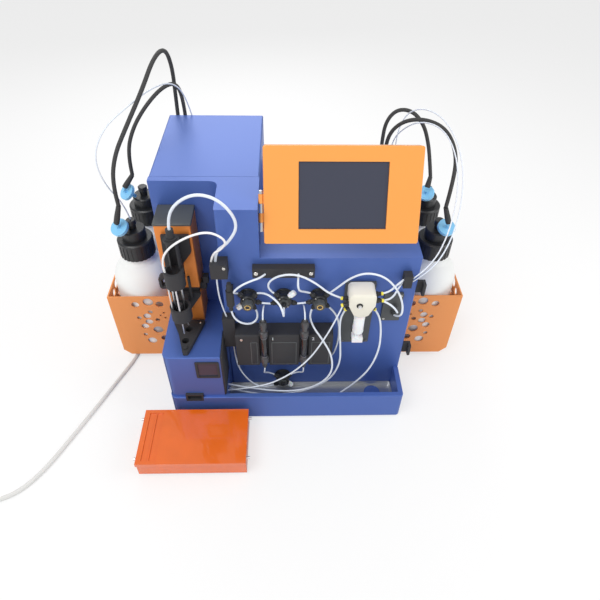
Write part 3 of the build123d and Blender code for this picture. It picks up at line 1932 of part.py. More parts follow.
front_link = [
    (-41.9, -12, 241.1),
    (-33, -18, 248),
    (-20, -31, 251),
    (-10, -42, 248),
    (-6, -50, 242),
    (-4.7, -49, 231),
    (-4.5, -40, 226),
    (-4.5, -28, 227),
]
pump_link = [
    (-18.6, -12, 241.1),
    (-27, -13, 250),
    (-25, -15, 267),
    (-8, -18, 281),
    (16, -20, 283),
    (40, -22, 269),
    (61, -22, 247),
    (79, -20, 238.1),
]
plate_link = [
    (61.1, -12, 241.1),
    (72, -14, 254),
    (87, -19, 276),
    (107, -24, 290),
    (132, -25, 284),
    (153, -24, 260),
    (166, -25, 230),
    (166, -29, 206),
    (160, -11, 194),
]
filter_link = [
    (-80, -20, 216),
    (-79.2, -21, 203),
    (-67, -24, 191),
    (-50, -21, 187),
    (-41, -14, 197),
    (-46, -12, 209.7),
]
short_link_left = [(-36.7, -12, 221.8), (-23.3, -12, 220.2)]
short_link_right = [(14.3, -12, 220.2), (27.7, -12, 221.8)]
drop_line = [
    (37, -12, 209.7),
    (32.5, -15, 200),
    (38, -26, 186),
    (53, -33, 165),
    (70, -35, 128),
    (72, -35, 84),
    (50, -34, 51),
    (12, -34, 36),
    (-38, -34, 40),
    (-97, -24, 44),
]
panel_line = [
    (61.1, -12, 212.9),
    (70, -13, 204),
    (78, -14, 184),
    (80.5, -13, 152),
    (78, -12, 122),
    (73, -10, 100),
    (63, -5, 87),
    (52, 0, 80),
]
waste_line = [
    (85.6, -20, 216.6),
    (79, -22, 206),
    (78, -25, 182),
    (82, -26, 144),
    (85, -26, 100),
    (71, -26, 57),
    (37, -26, 29),
    (-5, -27, 19),
    (-52, -27, 18),
    (-97, -20, 28),
]
wash_line = [
    (79.4, -29, 233.5),
    (70, -32, 204),
    (53, -37, 164),
    (34, -41, 128),
    (3, -43, 91),
    (-42, -41, 58),
    (-97, -36, 44),
]
column_line_left = [
    (-35, -30, 97),
    (-36, -29.5, 84),
    (-37, -22, 72),
    (-30, -14, 63),
    (-21.1, -12, 54.1),
]
column_line_right = [
    (26, -30, 97),
    (26.5, -29, 84),
    (25, -22, 72),
    (16, -14, 63),
    (7.1, -12, 54.1),
]
column_top_left = [
    (-35, -30, 205),
    (-35, -28.5, 213),
    (-34.3, -20, 217),
    (-33.6, -10, 214.5),
    (-33, 0, 209.5),
]
column_top_right = [
    (26, -30, 205),
    (26, -28.5, 213),
    (25.3, -20, 217),
    (24.6, -10, 214.5),
    (24, 0, 209.5),
]
clip_line_upper = [
    (132.9, -20, 246.9),
    (143, -21, 250),
    (154, -16, 260),
    (164, -10, 264),
]
clip_line_lower = [
    (132.8, -20, 234.4),
    (143, -22, 235),
    (152, -21, 244),
    (157, -14, 253),
    (164, -8, 257),
]
plate_line = [
    (133, -29, 242),
    (144, -31, 238),
    (155, -33, 227),
    (160, -28, 214),
    (160, -11, 206),
]
tray_line = [
    (126.4, -20, 216.6),
    (135, -21, 206),
    (142, -22, 173),
    (144, -24, 129),
    (134, -26, 84),
    (112, -26, 46),
    (92, -27, 24),
    (84, -27, 10.4),
]

hose_left_front = [
    (-243, 92, 318),
    (-245, 95, 350),
    (-237, 107, 388),
    (-216, 124, 424),
    (-193, 150, 462),
    (-180, 192, 490),
    (-172, 236, 488),
    (-172, 266, 450),
    (-175, 275, 405),
    (-176, 274, 364),
]
hose_left_rear = [
    (-249, 203, 302),
    (-250, 206, 338),
    (-236, 213, 376),
    (-212, 224, 408),
    (-186, 240, 430),
    (-168, 258, 430),
    (-163, 270, 400),
    (-164, 274, 364),
]
hose_right_rear = [
    (158, 240, 309),
    (157, 240, 344),
    (159, 240, 378),
    (174, 240, 398),
    (198, 237, 397),
    (218, 231, 378),
    (229, 222, 350),
    (234, 208, 322),
    (237, 200, 302),
]
hose_right_front = [
    (163, 214, 309),
    (157, 210, 344),
    (160, 202, 380),
    (179, 194, 402),
    (207, 182, 409),
    (233, 162, 404),
    (248, 142, 380),
    (248, 122, 351),
    (236, 94, 314),
]
clear_line_left = [
    (-241, 120, 274.2),
    (-242, 112, 308),
    (-258, 100, 348),
    (-262, 98, 392),
    (-243, 110, 428),
    (-212, 134, 447),
    (-186, 172, 456),
    (-166, 216, 448),
    (-155, 252, 414),
    (-152, 274, 364),
]
clear_line_right = [
    (176, -9, 264),
    (202, 2, 278),
    (224, 26, 312),
    (236, 58, 356),
    (234, 92, 398),
    (219, 134, 420),
    (195, 180, 408),
    (176, 216, 372),
    (171, 233, 340),
    (172, 232, 309),
]
clear_line_far = [
    (176, -7, 256),
    (205, 2, 270),
    (231, 26, 304),
    (244, 58, 350),
    (242, 92, 396),
    (226, 130, 426),
    (205, 166, 432),
    (187, 203, 414),
    (178, 222, 382),
    (176, 224, 344),
    (176, 214, 309),
]
cord_rest = cord / 2 + 0.1
cord_route = [
    (inlet_x, body_depth + 46.2, inlet_height),
    (-130.5, 334, 30.5),
    (-136, 354, 22),
    (-150, 374, 11),
    (-174, 387, cord_rest),
    (-208, 378, cord_rest),
    (-246, 346, cord_rest),
    (-266, 296, cord_rest),
    (-270, 236, cord_rest),
    (-268, 172, cord_rest),
    (-267, 112, cord_rest),
    (-275, 66, cord_rest),
    (-297, 16, cord_rest),
    (-321, -42, cord_rest),
    (-344, -94, cord_rest),
    (-370, -152, cord_rest),
    (-396, -186, cord_rest),
    (-423, -199, cord_rest),
    (-450.96, -204.29, cord_rest),
]

with BuildPart() as needle_lines:
    tube("carriage_line", thick_line, carriage_line)
    tube("rinse_line", line, rinse_line)
needle_lines.part.label = "needle_lines"
export_step(needle_lines.part, "parts/needle_lines.step")

with BuildPart() as fluid_lines:
    tube("uptake_line", thin_line, uptake_line)
    tube("sensor_line", thin_line, sensor_line)
    tube("bar_line_left", line, bar_line_left)
    tube("bar_line_right", line, bar_line_right)
    tube("front_link", line, front_link)
    tube("pump_link", line, pump_link)
    tube("plate_link", line, plate_link)
    tube("filter_link", line, filter_link)
    tube("short_link_left", line, short_link_left)
    tube("short_link_right", line, short_link_right)
    tube("drop_line", line, drop_line)
    tube("panel_line", line, panel_line)
    tube("waste_line", line, waste_line)
    tube("wash_line", thin_line, wash_line)
    tube("column_line_left", thin_line, column_line_left)
    tube("column_line_right", thin_line, column_line_right)
    tube("column_top_left", thin_line, column_top_left)
    tube("column_top_right", thin_line, column_top_right)
    tube("clip_line_upper", line, clip_line_upper)
    tube("clip_line_lower", line, clip_line_lower)
    tube("plate_line", line, plate_line)
    tube("tray_line", line, tray_line)
fluid_lines.part.label = "fluid_lines"
export_step(fluid_lines.part, "parts/fluid_lines.step")

with BuildPart() as bottle_hoses:
    tube("hose_left_front", hose, hose_left_front)
    tube("hose_left_rear", hose, hose_left_rear)
    tube("hose_right_rear", hose, hose_right_rear)
    tube("hose_right_front", hose, hose_right_front)
    tube("clear_line_left", bottle_line, clear_line_left)
    tube("clear_line_right", bottle_line, clear_line_right)
    tube("clear_line_far", bottle_line, clear_line_far)
bottle_hoses.part.label = "bottle_hoses"
export_step(bottle_hoses.part, "parts/bottle_hoses.step")

with BuildPart() as power_cord:
    tube("power_cord", cord, cord_route)
power_cord.part.label = "power_cord"
export_step(power_cord.part, "parts/power_cord.step")

with BuildPart() as cord_coil:
    disc(level(0.1), coil_spot, coil_radius + coil_thick / 2, coil_height)
    disc(level(0.1), coil_spot, coil_radius - coil_thick / 2, coil_height, Mode.SUBTRACT)
cord_coil.part.label = "cord_coil"
export_step(cord_coil.part, "parts/cord_coil.step")

with BuildPart() as power_plugs:
    nose_x = (inlet_x - 13, inlet_x + 13)
    nose_z = (inlet_height - 8, inlet_height + 8)
    slab(facing(body_depth - 10), nose_x, nose_z, -14, radius=2)
    slab(
        facing(body_depth + 4),
        (inlet_x - 15, inlet_x + 15),
        (inlet_height - 11, inlet_height + 11),
        -22,
        radius=4,
    )
    turned(
        at(inlet_x, body_depth + 26, inlet_height),
        (0, 1, 0),
        [(0, -2), (9, -2), (7, 4), (4.6, 20), (0, 20)],
    )
    for x, z in ((inlet_x - 7, -2), (inlet_x + 7, -2), (inlet_x, 3)):
        slab(
            facing(body_depth - 10),
            (x - 1.4, x + 1.4),
            (inlet_height + z - 2.4, inlet_height + z + 2.4),
            -8,
            Mode.SUBTRACT,
        )
    away = Vector(-0.342, -0.94, 0)
    plug_start = at(coil_spot[0], coil_spot[1], 11) + away * (coil_radius + coil_thick / 2 + 0.3)
    turned(
        plug_start,
        away,
        [(0, 0), (4.5, 0), (7, 14), (10.5, 18), (10.5, 44), (9, 46), (0, 46)],
    )
    for offset in (-6, 6):
        shift = away.cross(Vector(0, 0, 1)) * offset
        turned(plug_start + shift + away * 44, away, [(0, 0), (2.4, 0), (2.4, 19), (1.6, 20), (0, 20)])
power_plugs.part.label = "power_plugs"
export_step(power_plugs.part, "parts/power_plugs.step")
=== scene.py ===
"""Dressed model of a bench cell separator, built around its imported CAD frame.

The script is laid out as an add-on.  Sizes in the mesh functions are millimetres in the
panel's own frame: x to the right, depth to the back from the face of the front panel, z up
from the bench; `place` turns them into metres in the shared frame.
"""

import math

import bmesh
import bpy
import numpy as np
from bpy.props import FloatProperty, FloatVectorProperty, PointerProperty
from bpy.types import Operator, Panel, PropertyGroup
from mathutils import Matrix, Vector


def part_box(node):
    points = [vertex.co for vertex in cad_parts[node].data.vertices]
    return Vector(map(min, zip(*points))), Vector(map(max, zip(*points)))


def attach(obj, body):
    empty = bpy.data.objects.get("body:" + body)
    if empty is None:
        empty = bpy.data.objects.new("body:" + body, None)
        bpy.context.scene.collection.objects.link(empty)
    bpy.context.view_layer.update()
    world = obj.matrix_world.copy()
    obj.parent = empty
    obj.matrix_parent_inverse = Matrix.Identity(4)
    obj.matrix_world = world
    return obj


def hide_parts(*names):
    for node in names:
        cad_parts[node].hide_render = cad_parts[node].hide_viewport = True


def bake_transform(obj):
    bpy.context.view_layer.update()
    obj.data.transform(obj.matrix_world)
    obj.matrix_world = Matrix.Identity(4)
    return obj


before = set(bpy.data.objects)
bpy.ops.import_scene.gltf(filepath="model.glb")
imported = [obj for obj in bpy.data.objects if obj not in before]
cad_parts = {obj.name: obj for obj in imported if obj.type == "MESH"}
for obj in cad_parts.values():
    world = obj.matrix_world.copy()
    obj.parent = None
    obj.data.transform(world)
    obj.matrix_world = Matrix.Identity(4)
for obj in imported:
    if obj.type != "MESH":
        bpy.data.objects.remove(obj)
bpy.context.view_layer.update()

bl_info = {
    "name": "Cell Separator",
    "version": (1, 0, 0),
    "blender": (4, 5, 0),
    "location": "View3D > Sidebar > Separator",
    "description": "Dresses the CAD frame of a bench cell separator",
    "category": "Object",
}

MM = 0.001
SHARP_ANGLE = 32
PANEL_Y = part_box("port_plate")[1].y / MM

# Clear fluid lines: diameter and length in metres
FLUID_LINES = {
    "uptake_line": (0.0024, 0.0853),
    "sensor_line": (0.0024, 0.1376),
    "bar_line_left": (0.003, 0.080),
    "bar_line_right": (0.003, 0.0518),
    "front_link": (0.003, 0.0884),
    "pump_link": (0.003, 0.1512),
    "plate_link": (0.003, 0.2009),
    "filter_link": (0.003, 0.0735),
    "drop_line": (0.003, 0.3275),
    "panel_line": (0.003, 0.1494),
    "waste_line": (0.003, 0.3423),
    "wash_line": (0.0024, 0.2758),
    "column_line_left": (0.0024, 0.053),
    "column_line_right": (0.0024, 0.0541),
    "column_top_left": (0.0024, 0.0382),
    "column_top_right": (0.0024, 0.0382),
    "clip_line_upper": (0.003, 0.0382),
    "clip_line_lower": (0.003, 0.0447),
    "plate_line": (0.003, 0.0598),
    "tray_line": (0.003, 0.2261),
}
# Diameter in metres, length in metres, finish
BOTTLE_HOSES = {
    "hose_left_front": (0.006, 0.3955, "black_hose"),
    "hose_left_rear": (0.006, 0.246, "black_hose"),
    "hose_right_rear": (0.006, 0.2275, "black_hose"),
    "hose_right_front": (0.006, 0.281, "black_hose"),
    "clear_line_left": (0.002, 0.4049, "clear_tube"),
    "clear_line_right": (0.002, 0.4075, "clear_tube"),
    "clear_line_far": (0.002, 0.4424, "clear_tube"),
}
NEEDLE_LINES = {
    "carriage_line": (0.004, 0.2389, "clear_tube"),
    "rinse_line": (0.003, 0.1945, "white_tube"),
}

# Centre lines of the tubes and cords, in metres in the shared frame
ROUTES = {
    "carriage_line": [
        (-0.151, -0.063, 0.3395), (-0.151, -0.064, 0.362), (-0.137, -0.071, 0.392),
        (-0.108, -0.078, 0.412), (-0.078, -0.082, 0.404), (-0.059, -0.08, 0.368),
        (-0.076, -0.075, 0.334), (-0.0945, -0.069, 0.317), (-0.096, -0.068, 0.299),
    ],
    "rinse_line": [
        (-0.1645, -0.075, 0.2854), (-0.166, -0.076, 0.306), (-0.152, -0.08, 0.331),
        (-0.125, -0.084, 0.352), (-0.096, -0.087, 0.363), (-0.075, -0.087, 0.348),
        (-0.084, -0.081, 0.329), (-0.0975, -0.075, 0.318), (-0.1015, -0.069, 0.299),
    ],
    "uptake_line": [
        (-0.097, -0.068, 0.2746), (-0.0975, -0.069, 0.25), (-0.095, -0.07, 0.22),
        (-0.09, -0.066, 0.19),
    ],
    "sensor_line": [
        (-0.084, -0.066, 0.128), (-0.083, -0.068, 0.104), (-0.079, -0.072, 0.076),
        (-0.066, -0.076, 0.05), (-0.05, -0.076, 0.031), (-0.036, -0.073, 0.023),
        (-0.0211, -0.07, 0.0259),
    ],
    "bar_line_left": [
        (-0.03, -0.069, 0.276), (-0.036, -0.078, 0.2775), (-0.047, -0.083, 0.277),
        (-0.059, -0.086, 0.273), (-0.069, -0.0875, 0.266), (-0.074, -0.085, 0.256),
        (-0.072, -0.077, 0.2475), (-0.0701, -0.07, 0.2411),
    ],
    "bar_line_right": [
        (0.016, -0.069, 0.276), (0.0152, -0.078, 0.2735), (0.0152, -0.083, 0.2635),
        (0.018, -0.08, 0.254), (0.025, -0.074, 0.2475), (0.0329, -0.07, 0.2411),
    ],
    "front_link": [
        (-0.0419, -0.07, 0.2411), (-0.033, -0.076, 0.248), (-0.02, -0.089, 0.251),
        (-0.01, -0.1, 0.248), (-0.006, -0.108, 0.242), (-0.0047, -0.107, 0.231),
        (-0.0045, -0.098, 0.226), (-0.0045, -0.086, 0.227),
    ],
    "pump_link": [
        (-0.0186, -0.07, 0.2411), (-0.027, -0.071, 0.25), (-0.025, -0.073, 0.267),
        (-0.008, -0.076, 0.281), (0.016, -0.078, 0.283), (0.04, -0.08, 0.269), (0.061, -0.08, 0.247),
        (0.079, -0.078, 0.2381),
    ],
    "plate_link": [
        (0.0611, -0.07, 0.2411), (0.072, -0.072, 0.254), (0.087, -0.077, 0.276), (0.107, -0.082, 0.29),
        (0.132, -0.083, 0.284), (0.153, -0.082, 0.26), (0.166, -0.083, 0.23), (0.166, -0.087, 0.206),
        (0.16, -0.069, 0.194),
    ],
    "filter_link": [
        (-0.08, -0.078, 0.216), (-0.0792, -0.079, 0.203), (-0.067, -0.082, 0.191),
        (-0.05, -0.079, 0.187), (-0.041, -0.072, 0.197), (-0.046, -0.07, 0.2097),
    ],
    "short_link_left": [
        (-0.0367, -0.07, 0.2218), (-0.0233, -0.07, 0.2202),
    ],
    "short_link_right": [
        (0.0143, -0.07, 0.2202), (0.0277, -0.07, 0.2218),
    ],
    "drop_line": [
        (0.037, -0.07, 0.2097), (0.0325, -0.073, 0.2), (0.038, -0.084, 0.186), (0.053, -0.091, 0.165),
        (0.07, -0.093, 0.128), (0.072, -0.093, 0.084), (0.05, -0.092, 0.051), (0.012, -0.092, 0.036),
        (-0.038, -0.092, 0.04), (-0.097, -0.082, 0.044),
    ],
    "panel_line": [
        (0.0611, -0.07, 0.2129), (0.07, -0.071, 0.204), (0.078, -0.072, 0.184),
        (0.0805, -0.071, 0.152), (0.078, -0.07, 0.122), (0.073, -0.068, 0.1), (0.063, -0.063, 0.087),
        (0.052, -0.058, 0.08),
    ],
    "waste_line": [
        (0.0856, -0.078, 0.2166), (0.079, -0.08, 0.206), (0.078, -0.083, 0.182),
        (0.082, -0.084, 0.144), (0.085, -0.084, 0.1), (0.071, -0.084, 0.057), (0.037, -0.084, 0.029),
        (-0.005, -0.085, 0.019), (-0.052, -0.085, 0.018), (-0.097, -0.078, 0.028),
    ],
    "wash_line": [
        (0.0794, -0.087, 0.2335), (0.07, -0.09, 0.204), (0.053, -0.095, 0.164), (0.034, -0.099, 0.128),
        (0.003, -0.101, 0.091), (-0.042, -0.099, 0.058), (-0.097, -0.094, 0.044),
    ],
    "column_line_left": [
        (-0.035, -0.088, 0.097), (-0.036, -0.0875, 0.084), (-0.037, -0.08, 0.072),
        (-0.03, -0.072, 0.063), (-0.0211, -0.07, 0.0541),
    ],
    "column_line_right": [
        (0.026, -0.088, 0.097), (0.0265, -0.087, 0.084), (0.025, -0.08, 0.072), (0.016, -0.072, 0.063),
        (0.0071, -0.07, 0.0541),
    ],
    "column_top_left": [
        (-0.035, -0.088, 0.205), (-0.035, -0.0865, 0.213), (-0.0343, -0.078, 0.217),
        (-0.0336, -0.068, 0.2145), (-0.033, -0.058, 0.2095),
    ],
    "column_top_right": [
        (0.026, -0.088, 0.205), (0.026, -0.0865, 0.213), (0.0253, -0.078, 0.217),
        (0.0246, -0.068, 0.2145), (0.024, -0.058, 0.2095),
    ],
    "clip_line_upper": [
        (0.1329, -0.078, 0.2469), (0.143, -0.079, 0.25), (0.154, -0.074, 0.26), (0.164, -0.068, 0.264),
    ],
    "clip_line_lower": [
        (0.1328, -0.078, 0.2344), (0.143, -0.08, 0.235), (0.152, -0.079, 0.244),
        (0.157, -0.072, 0.253), (0.164, -0.066, 0.257),
    ],
    "plate_line": [
        (0.133, -0.087, 0.242), (0.144, -0.089, 0.238), (0.155, -0.091, 0.227), (0.16, -0.086, 0.214),
        (0.16, -0.069, 0.206),
    ],
    "tray_line": [
        (0.1264, -0.078, 0.2166), (0.135, -0.079, 0.206), (0.142, -0.08, 0.173),
        (0.144, -0.082, 0.129), (0.134, -0.084, 0.084), (0.112, -0.084, 0.046), (0.092, -0.085, 0.024),
        (0.084, -0.085, 0.0104),
    ],
    "hose_left_front": [
        (-0.243, 0.034, 0.318), (-0.245, 0.037, 0.35), (-0.237, 0.049, 0.388), (-0.216, 0.066, 0.424),
        (-0.193, 0.092, 0.462), (-0.18, 0.134, 0.49), (-0.172, 0.178, 0.488), (-0.172, 0.208, 0.45),
        (-0.175, 0.217, 0.405), (-0.176, 0.216, 0.364),
    ],
    "hose_left_rear": [
        (-0.249, 0.145, 0.302), (-0.25, 0.148, 0.338), (-0.236, 0.155, 0.376), (-0.212, 0.166, 0.408),
        (-0.186, 0.182, 0.43), (-0.168, 0.2, 0.43), (-0.163, 0.212, 0.4), (-0.164, 0.216, 0.364),
    ],
    "hose_right_rear": [
        (0.158, 0.182, 0.309), (0.157, 0.182, 0.344), (0.159, 0.182, 0.378), (0.174, 0.182, 0.398),
        (0.198, 0.179, 0.397), (0.218, 0.173, 0.378), (0.229, 0.164, 0.35), (0.234, 0.15, 0.322),
        (0.237, 0.142, 0.302),
    ],
    "hose_right_front": [
        (0.163, 0.156, 0.309), (0.157, 0.152, 0.344), (0.16, 0.144, 0.38), (0.179, 0.136, 0.402),
        (0.207, 0.124, 0.409), (0.233, 0.104, 0.404), (0.248, 0.084, 0.38), (0.248, 0.064, 0.351),
        (0.236, 0.036, 0.314),
    ],
    "clear_line_left": [
        (-0.241, 0.062, 0.2742), (-0.242, 0.054, 0.308), (-0.258, 0.042, 0.348), (-0.262, 0.04, 0.392),
        (-0.243, 0.052, 0.428), (-0.212, 0.076, 0.447), (-0.186, 0.114, 0.456), (-0.166, 0.158, 0.448),
        (-0.155, 0.194, 0.414), (-0.152, 0.216, 0.364),
    ],
    "clear_line_right": [
        (0.176, -0.067, 0.264), (0.202, -0.056, 0.278), (0.224, -0.032, 0.312), (0.236, 0, 0.356),
        (0.234, 0.034, 0.398), (0.219, 0.076, 0.42), (0.195, 0.122, 0.408), (0.176, 0.158, 0.372),
        (0.171, 0.175, 0.34), (0.172, 0.174, 0.309),
    ],
    "clear_line_far": [
        (0.176, -0.065, 0.256), (0.205, -0.056, 0.27), (0.231, -0.032, 0.304), (0.244, 0, 0.35),
        (0.242, 0.034, 0.396), (0.226, 0.072, 0.426), (0.205, 0.108, 0.432), (0.187, 0.145, 0.414),
        (0.178, 0.164, 0.382), (0.176, 0.166, 0.344), (0.176, 0.156, 0.309),
    ],
    "cord_route": [
        (-0.13, 0.2542, 0.032), (-0.1305, 0.276, 0.0305), (-0.136, 0.296, 0.022),
        (-0.15, 0.316, 0.011), (-0.174, 0.329, 0.0036), (-0.208, 0.32, 0.0036),
        (-0.246, 0.288, 0.0036), (-0.266, 0.238, 0.0036), (-0.27, 0.178, 0.0036),
        (-0.268, 0.114, 0.0036), (-0.267, 0.054, 0.0036), (-0.275, 0.008, 0.0036),
        (-0.297, -0.042, 0.0036), (-0.321, -0.1, 0.0036), (-0.344, -0.152, 0.0036),
        (-0.37, -0.21, 0.0036), (-0.396, -0.244, 0.0036), (-0.423, -0.257, 0.0036),
        (-0.45096, -0.26229, 0.0036),
    ],
}


# Places and surfaces

def place(points):
    """Millimetres in the panel's frame as metres in the shared frame."""
    return (np.asarray(points, float) + (0, PANEL_Y, 0)) * MM


def unit(vector):
    """The same direction at length one."""
    vector = np.asarray(vector, float)
    return vector / np.linalg.norm(vector)


def across_axes(axis):
    """Two unit vectors at right angles to the axis and to each other."""
    axis = unit(axis)
    helper = np.array((1.0, 0, 0)) if abs(axis[0]) < 0.9 else np.array((0, 0, 1.0))
    side = unit(np.cross(axis, helper))
    return side, np.cross(axis, side)


def grid_quads(rows, columns, closed_rows=False, closed_columns=True):
    """Quads between the lines of a grid of points; a closed direction joins last to first."""
    i, j = np.meshgrid(
        np.arange(rows if closed_rows else rows - 1),
        np.arange(columns if closed_columns else columns - 1),
        indexing="ij",
    )
    i_next = (i + 1) % rows
    j_next = (j + 1) % columns
    corners = (i * columns + j, i * columns + j_next, i_next * columns + j_next, i_next * columns + j)
    return np.stack(corners, -1).reshape(-1, 4)


def turned(origin, axis, profile, sides=40, ribs=0, rib_depth=0.0, finish=0):
    """Body of revolution.

    Point (i, j) is origin + h_i axis + (r_i - w_i d (1 + cos(ribs a_j)) / 2) * ray(a_j), where
    the profile's rows are (r, h) or (r, h, w), a_j = 2 pi j / sides, and d is the rib depth.
    """
    rows = np.array([(row + (0,))[:3] for row in map(tuple, profile)], float)
    angle = np.linspace(0, 2 * math.pi, sides, endpoint=False)
    side, up = across_axes(axis)
    ray = np.cos(angle)[:, None] * side + np.sin(angle)[:, None] * up
    ripple = rib_depth * (1 + np.cos(ribs * angle)) / 2
    radius = np.maximum(rows[:, :1] - rows[:, 2:] * ripple[None, :], 0)
    points = np.asarray(origin, float) + rows[:, 1, None, None] * unit(axis) + radius[..., None] * ray
    return shell(points, grid_quads(len(rows), sides), finish)


def hexed(origin, axis, profile, finish=0, corners=6, turn=0.0):
    """Turned body whose rows marked 1 are flat-sided.

    A marked row's radius is r cos(pi/n) / cos((a mod 2 pi/n) - pi/n), so r is to the corners.
    """
    rows = np.array([(row + (0,))[:3] for row in map(tuple, profile)], float)
    sides = corners * 4
    angle = np.linspace(0, 2 * math.pi, sides, endpoint=False)
    flat = math.cos(math.pi / corners) / np.cos(angle % (2 * math.pi / corners) - math.pi / corners)
    side, up = across_axes(axis)
    ray = np.cos(angle + turn)[:, None] * side + np.sin(angle + turn)[:, None] * up
    radius = rows[:, :1] * (1 + rows[:, 2:] * (flat[None, :] - 1))
    points = np.asarray(origin, float) + rows[:, 1, None, None] * unit(axis) + radius[..., None] * ray
    return shell(points, grid_quads(len(rows), sides), finish)


def rounded(x0, x1, y0, y1, radius, steps=5):
    """Outline of a rectangle with round corners: corner centre + r (cos a, sin a)."""
    radius = min(radius, (x1 - x0) / 2 - 1e-3, (y1 - y0) / 2 - 1e-3)
    left, right, low, high = x0 + radius, x1 - radius, y0 + radius, y1 - radius
    angles = np.linspace(0, math.pi / 2, steps)
    arcs = []
    for quarter, centre in enumerate(((right, low), (right, high), (left, high), (left, low))):
        turn = angles + (quarter - 1) * math.pi / 2
        arcs.append(centre + radius * np.stack((np.cos(turn), np.sin(turn)), -1))
    return np.concatenate(arcs)


def plate(outline, origin, x_dir, y_dir, low, high, edge=0.4, steps=3, finish=0):
    """Flat piece with rounded rims.

    Row k of the wall is the outline moved inwards by e (1 - sin t_k) and stands at
    low + e (1 - cos t_k), and the same at the top; an n-gon closes each end.
    """
    outline = np.asarray(outline, float)
    x_dir, y_dir = unit(x_dir), unit(y_dir)
    normal = np.cross(x_dir, y_dir)
    before, after = np.roll(outline, 1, 0), np.roll(outline, -1, 0)
    first, second = outline - before, after - outline
    first = first / np.maximum(np.linalg.norm(first, axis=1, keepdims=True), 1e-9)
    second = second / np.maximum(np.linalg.norm(second, axis=1, keepdims=True), 1e-9)
    bisector = np.stack((-(first + second)[:, 1], (first + second)[:, 0]), -1)
    inward = 2 * bisector / np.maximum((bisector**2).sum(1, keepdims=True), 0.3)
    area = np.sum(outline[:, 0] * after[:, 1] - after[:, 0] * outline[:, 1])
    inward = inward if area > 0 else -inward
    edge = min(edge, abs(high - low) / 2)
    turn = np.linspace(0, math.pi / 2, steps)
    inset = edge * (1 - np.sin(turn))
    rise = edge * (1 - np.cos(turn))
    sign = 1 if high > low else -1
    insets = np.concatenate((inset, inset[::-1]))
    heights = np.concatenate((low + sign * rise, high - sign * rise[::-1]))
    flat = outline[None] + insets[:, None, None] * inward[None]
    points = np.asarray(origin, float) + flat[..., :1] * x_dir + flat[..., 1:] * y_dir
    points = points + heights[:, None, None] * normal
    count = len(outline)
    last = (len(insets) - 1) * count
    caps = [np.arange(count)[::-1], np.arange(count) + last]
    return shell(points, grid_quads(len(insets), count), finish, caps)


def carried(path, radius, sides=16, finish=0):
    """Round tube along a path of points.

    Ring i is p_i + r (cos a u_i + sin a v_i); u_i is a fixed helper made square to the path.
    """
    path = np.asarray(path, float)
    radius = np.broadcast_to(np.asarray(radius, float), len(path))
    tangent = np.gradient(path, axis=0)
    tangent /= np.linalg.norm(tangent, axis=1, keepdims=True)
    frame_u = np.zeros_like(path)
    u = across_axes(tangent[0])[0]
    for index, t in enumerate(tangent):
        u = unit(u - t * np.dot(u, t))
        frame_u[index] = u
    frame_v = np.cross(tangent, frame_u)
    angle = np.linspace(0, 2 * math.pi, sides, endpoint=False)[None, :, None]
    ring = np.cos(angle) * frame_u[:, None] + np.sin(angle) * frame_v[:, None]
    points = path[:, None] + radius[:, None, None] * ring
    last = (len(path) - 1) * sides
    caps = [np.arange(sides)[::-1], np.arange(sides) + last]
    return shell(points, grid_quads(len(path), sides), finish, caps)


def shell(points, quads, finish=0, caps=()):
    """One closed surface, turned so that its signed volume is positive."""
    points = np.asarray(points, float).reshape(-1, 3)
    fans = [np.stack((np.full(len(c) - 2, c[0]), c[1:-1], c[2:]), 1) for c in caps]
    triangles = np.concatenate([quads[:, [0, 1, 2]], quads[:, [0, 2, 3]]] + fans)
    a, b, c = (points[triangles[:, k]] for k in range(3))
    if np.einsum("ij,ij->", a - points.mean(0), np.cross(b - a, c - a)) < 0:
        quads = quads[:, ::-1]
        caps = [cap[::-1] for cap in caps]
    return points, quads, caps, finish


def piece(name, shells, finishes, replaces=()):
    """Mesh object on the housing from shells in millimetres, each with its finish by number."""
    faces, materials, points, start = [], [], [], 0
    for shell_points, quads, caps, finish in shells:
        new_faces = (quads + start).tolist() + [(cap + start).tolist() for cap in caps]
        faces += new_faces
        materials += [finish] * len(new_faces)
        points.append(place(shell_points))
        start += len(shell_points)
    mesh = bpy.data.meshes.new(name)
    mesh.from_pydata(np.concatenate(points).tolist(), [], faces)
    mesh.polygons.foreach_set("material_index", materials)
    work = bmesh.new()
    work.from_mesh(mesh)
    bmesh.ops.remove_doubles(work, verts=work.verts, dist=2e-6)
    work.to_mesh(mesh)
    work.free()
    for finish in finishes:
        mesh.materials.append(material(finish))
    mesh.shade_smooth()
    mesh.set_sharp_from_angle(angle=math.radians(SHARP_ANGLE))
    made = bpy.data.objects.new(name, mesh)
    bpy.context.scene.collection.objects.link(made)
    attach(made, "housing")
    if replaces:
        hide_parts(*replaces)
    return made


def screw(centre, axis, radius, height=1.6, finish=0):
    """Socket head screw: chamfered head, six-sided recess with a flat floor."""
    r, h = radius, height
    head = [(0, -0.5), (r, -0.5), (r, h - 0.35), (r - 0.35, h), (0.62 * r, h)]
    recess = [(0.56 * r, h - 0.1, 1), (0.5 * r, h - 0.75, 1), (0, h - 0.8)]
    return hexed(centre, axis, head + recess, finish)


# Finishes

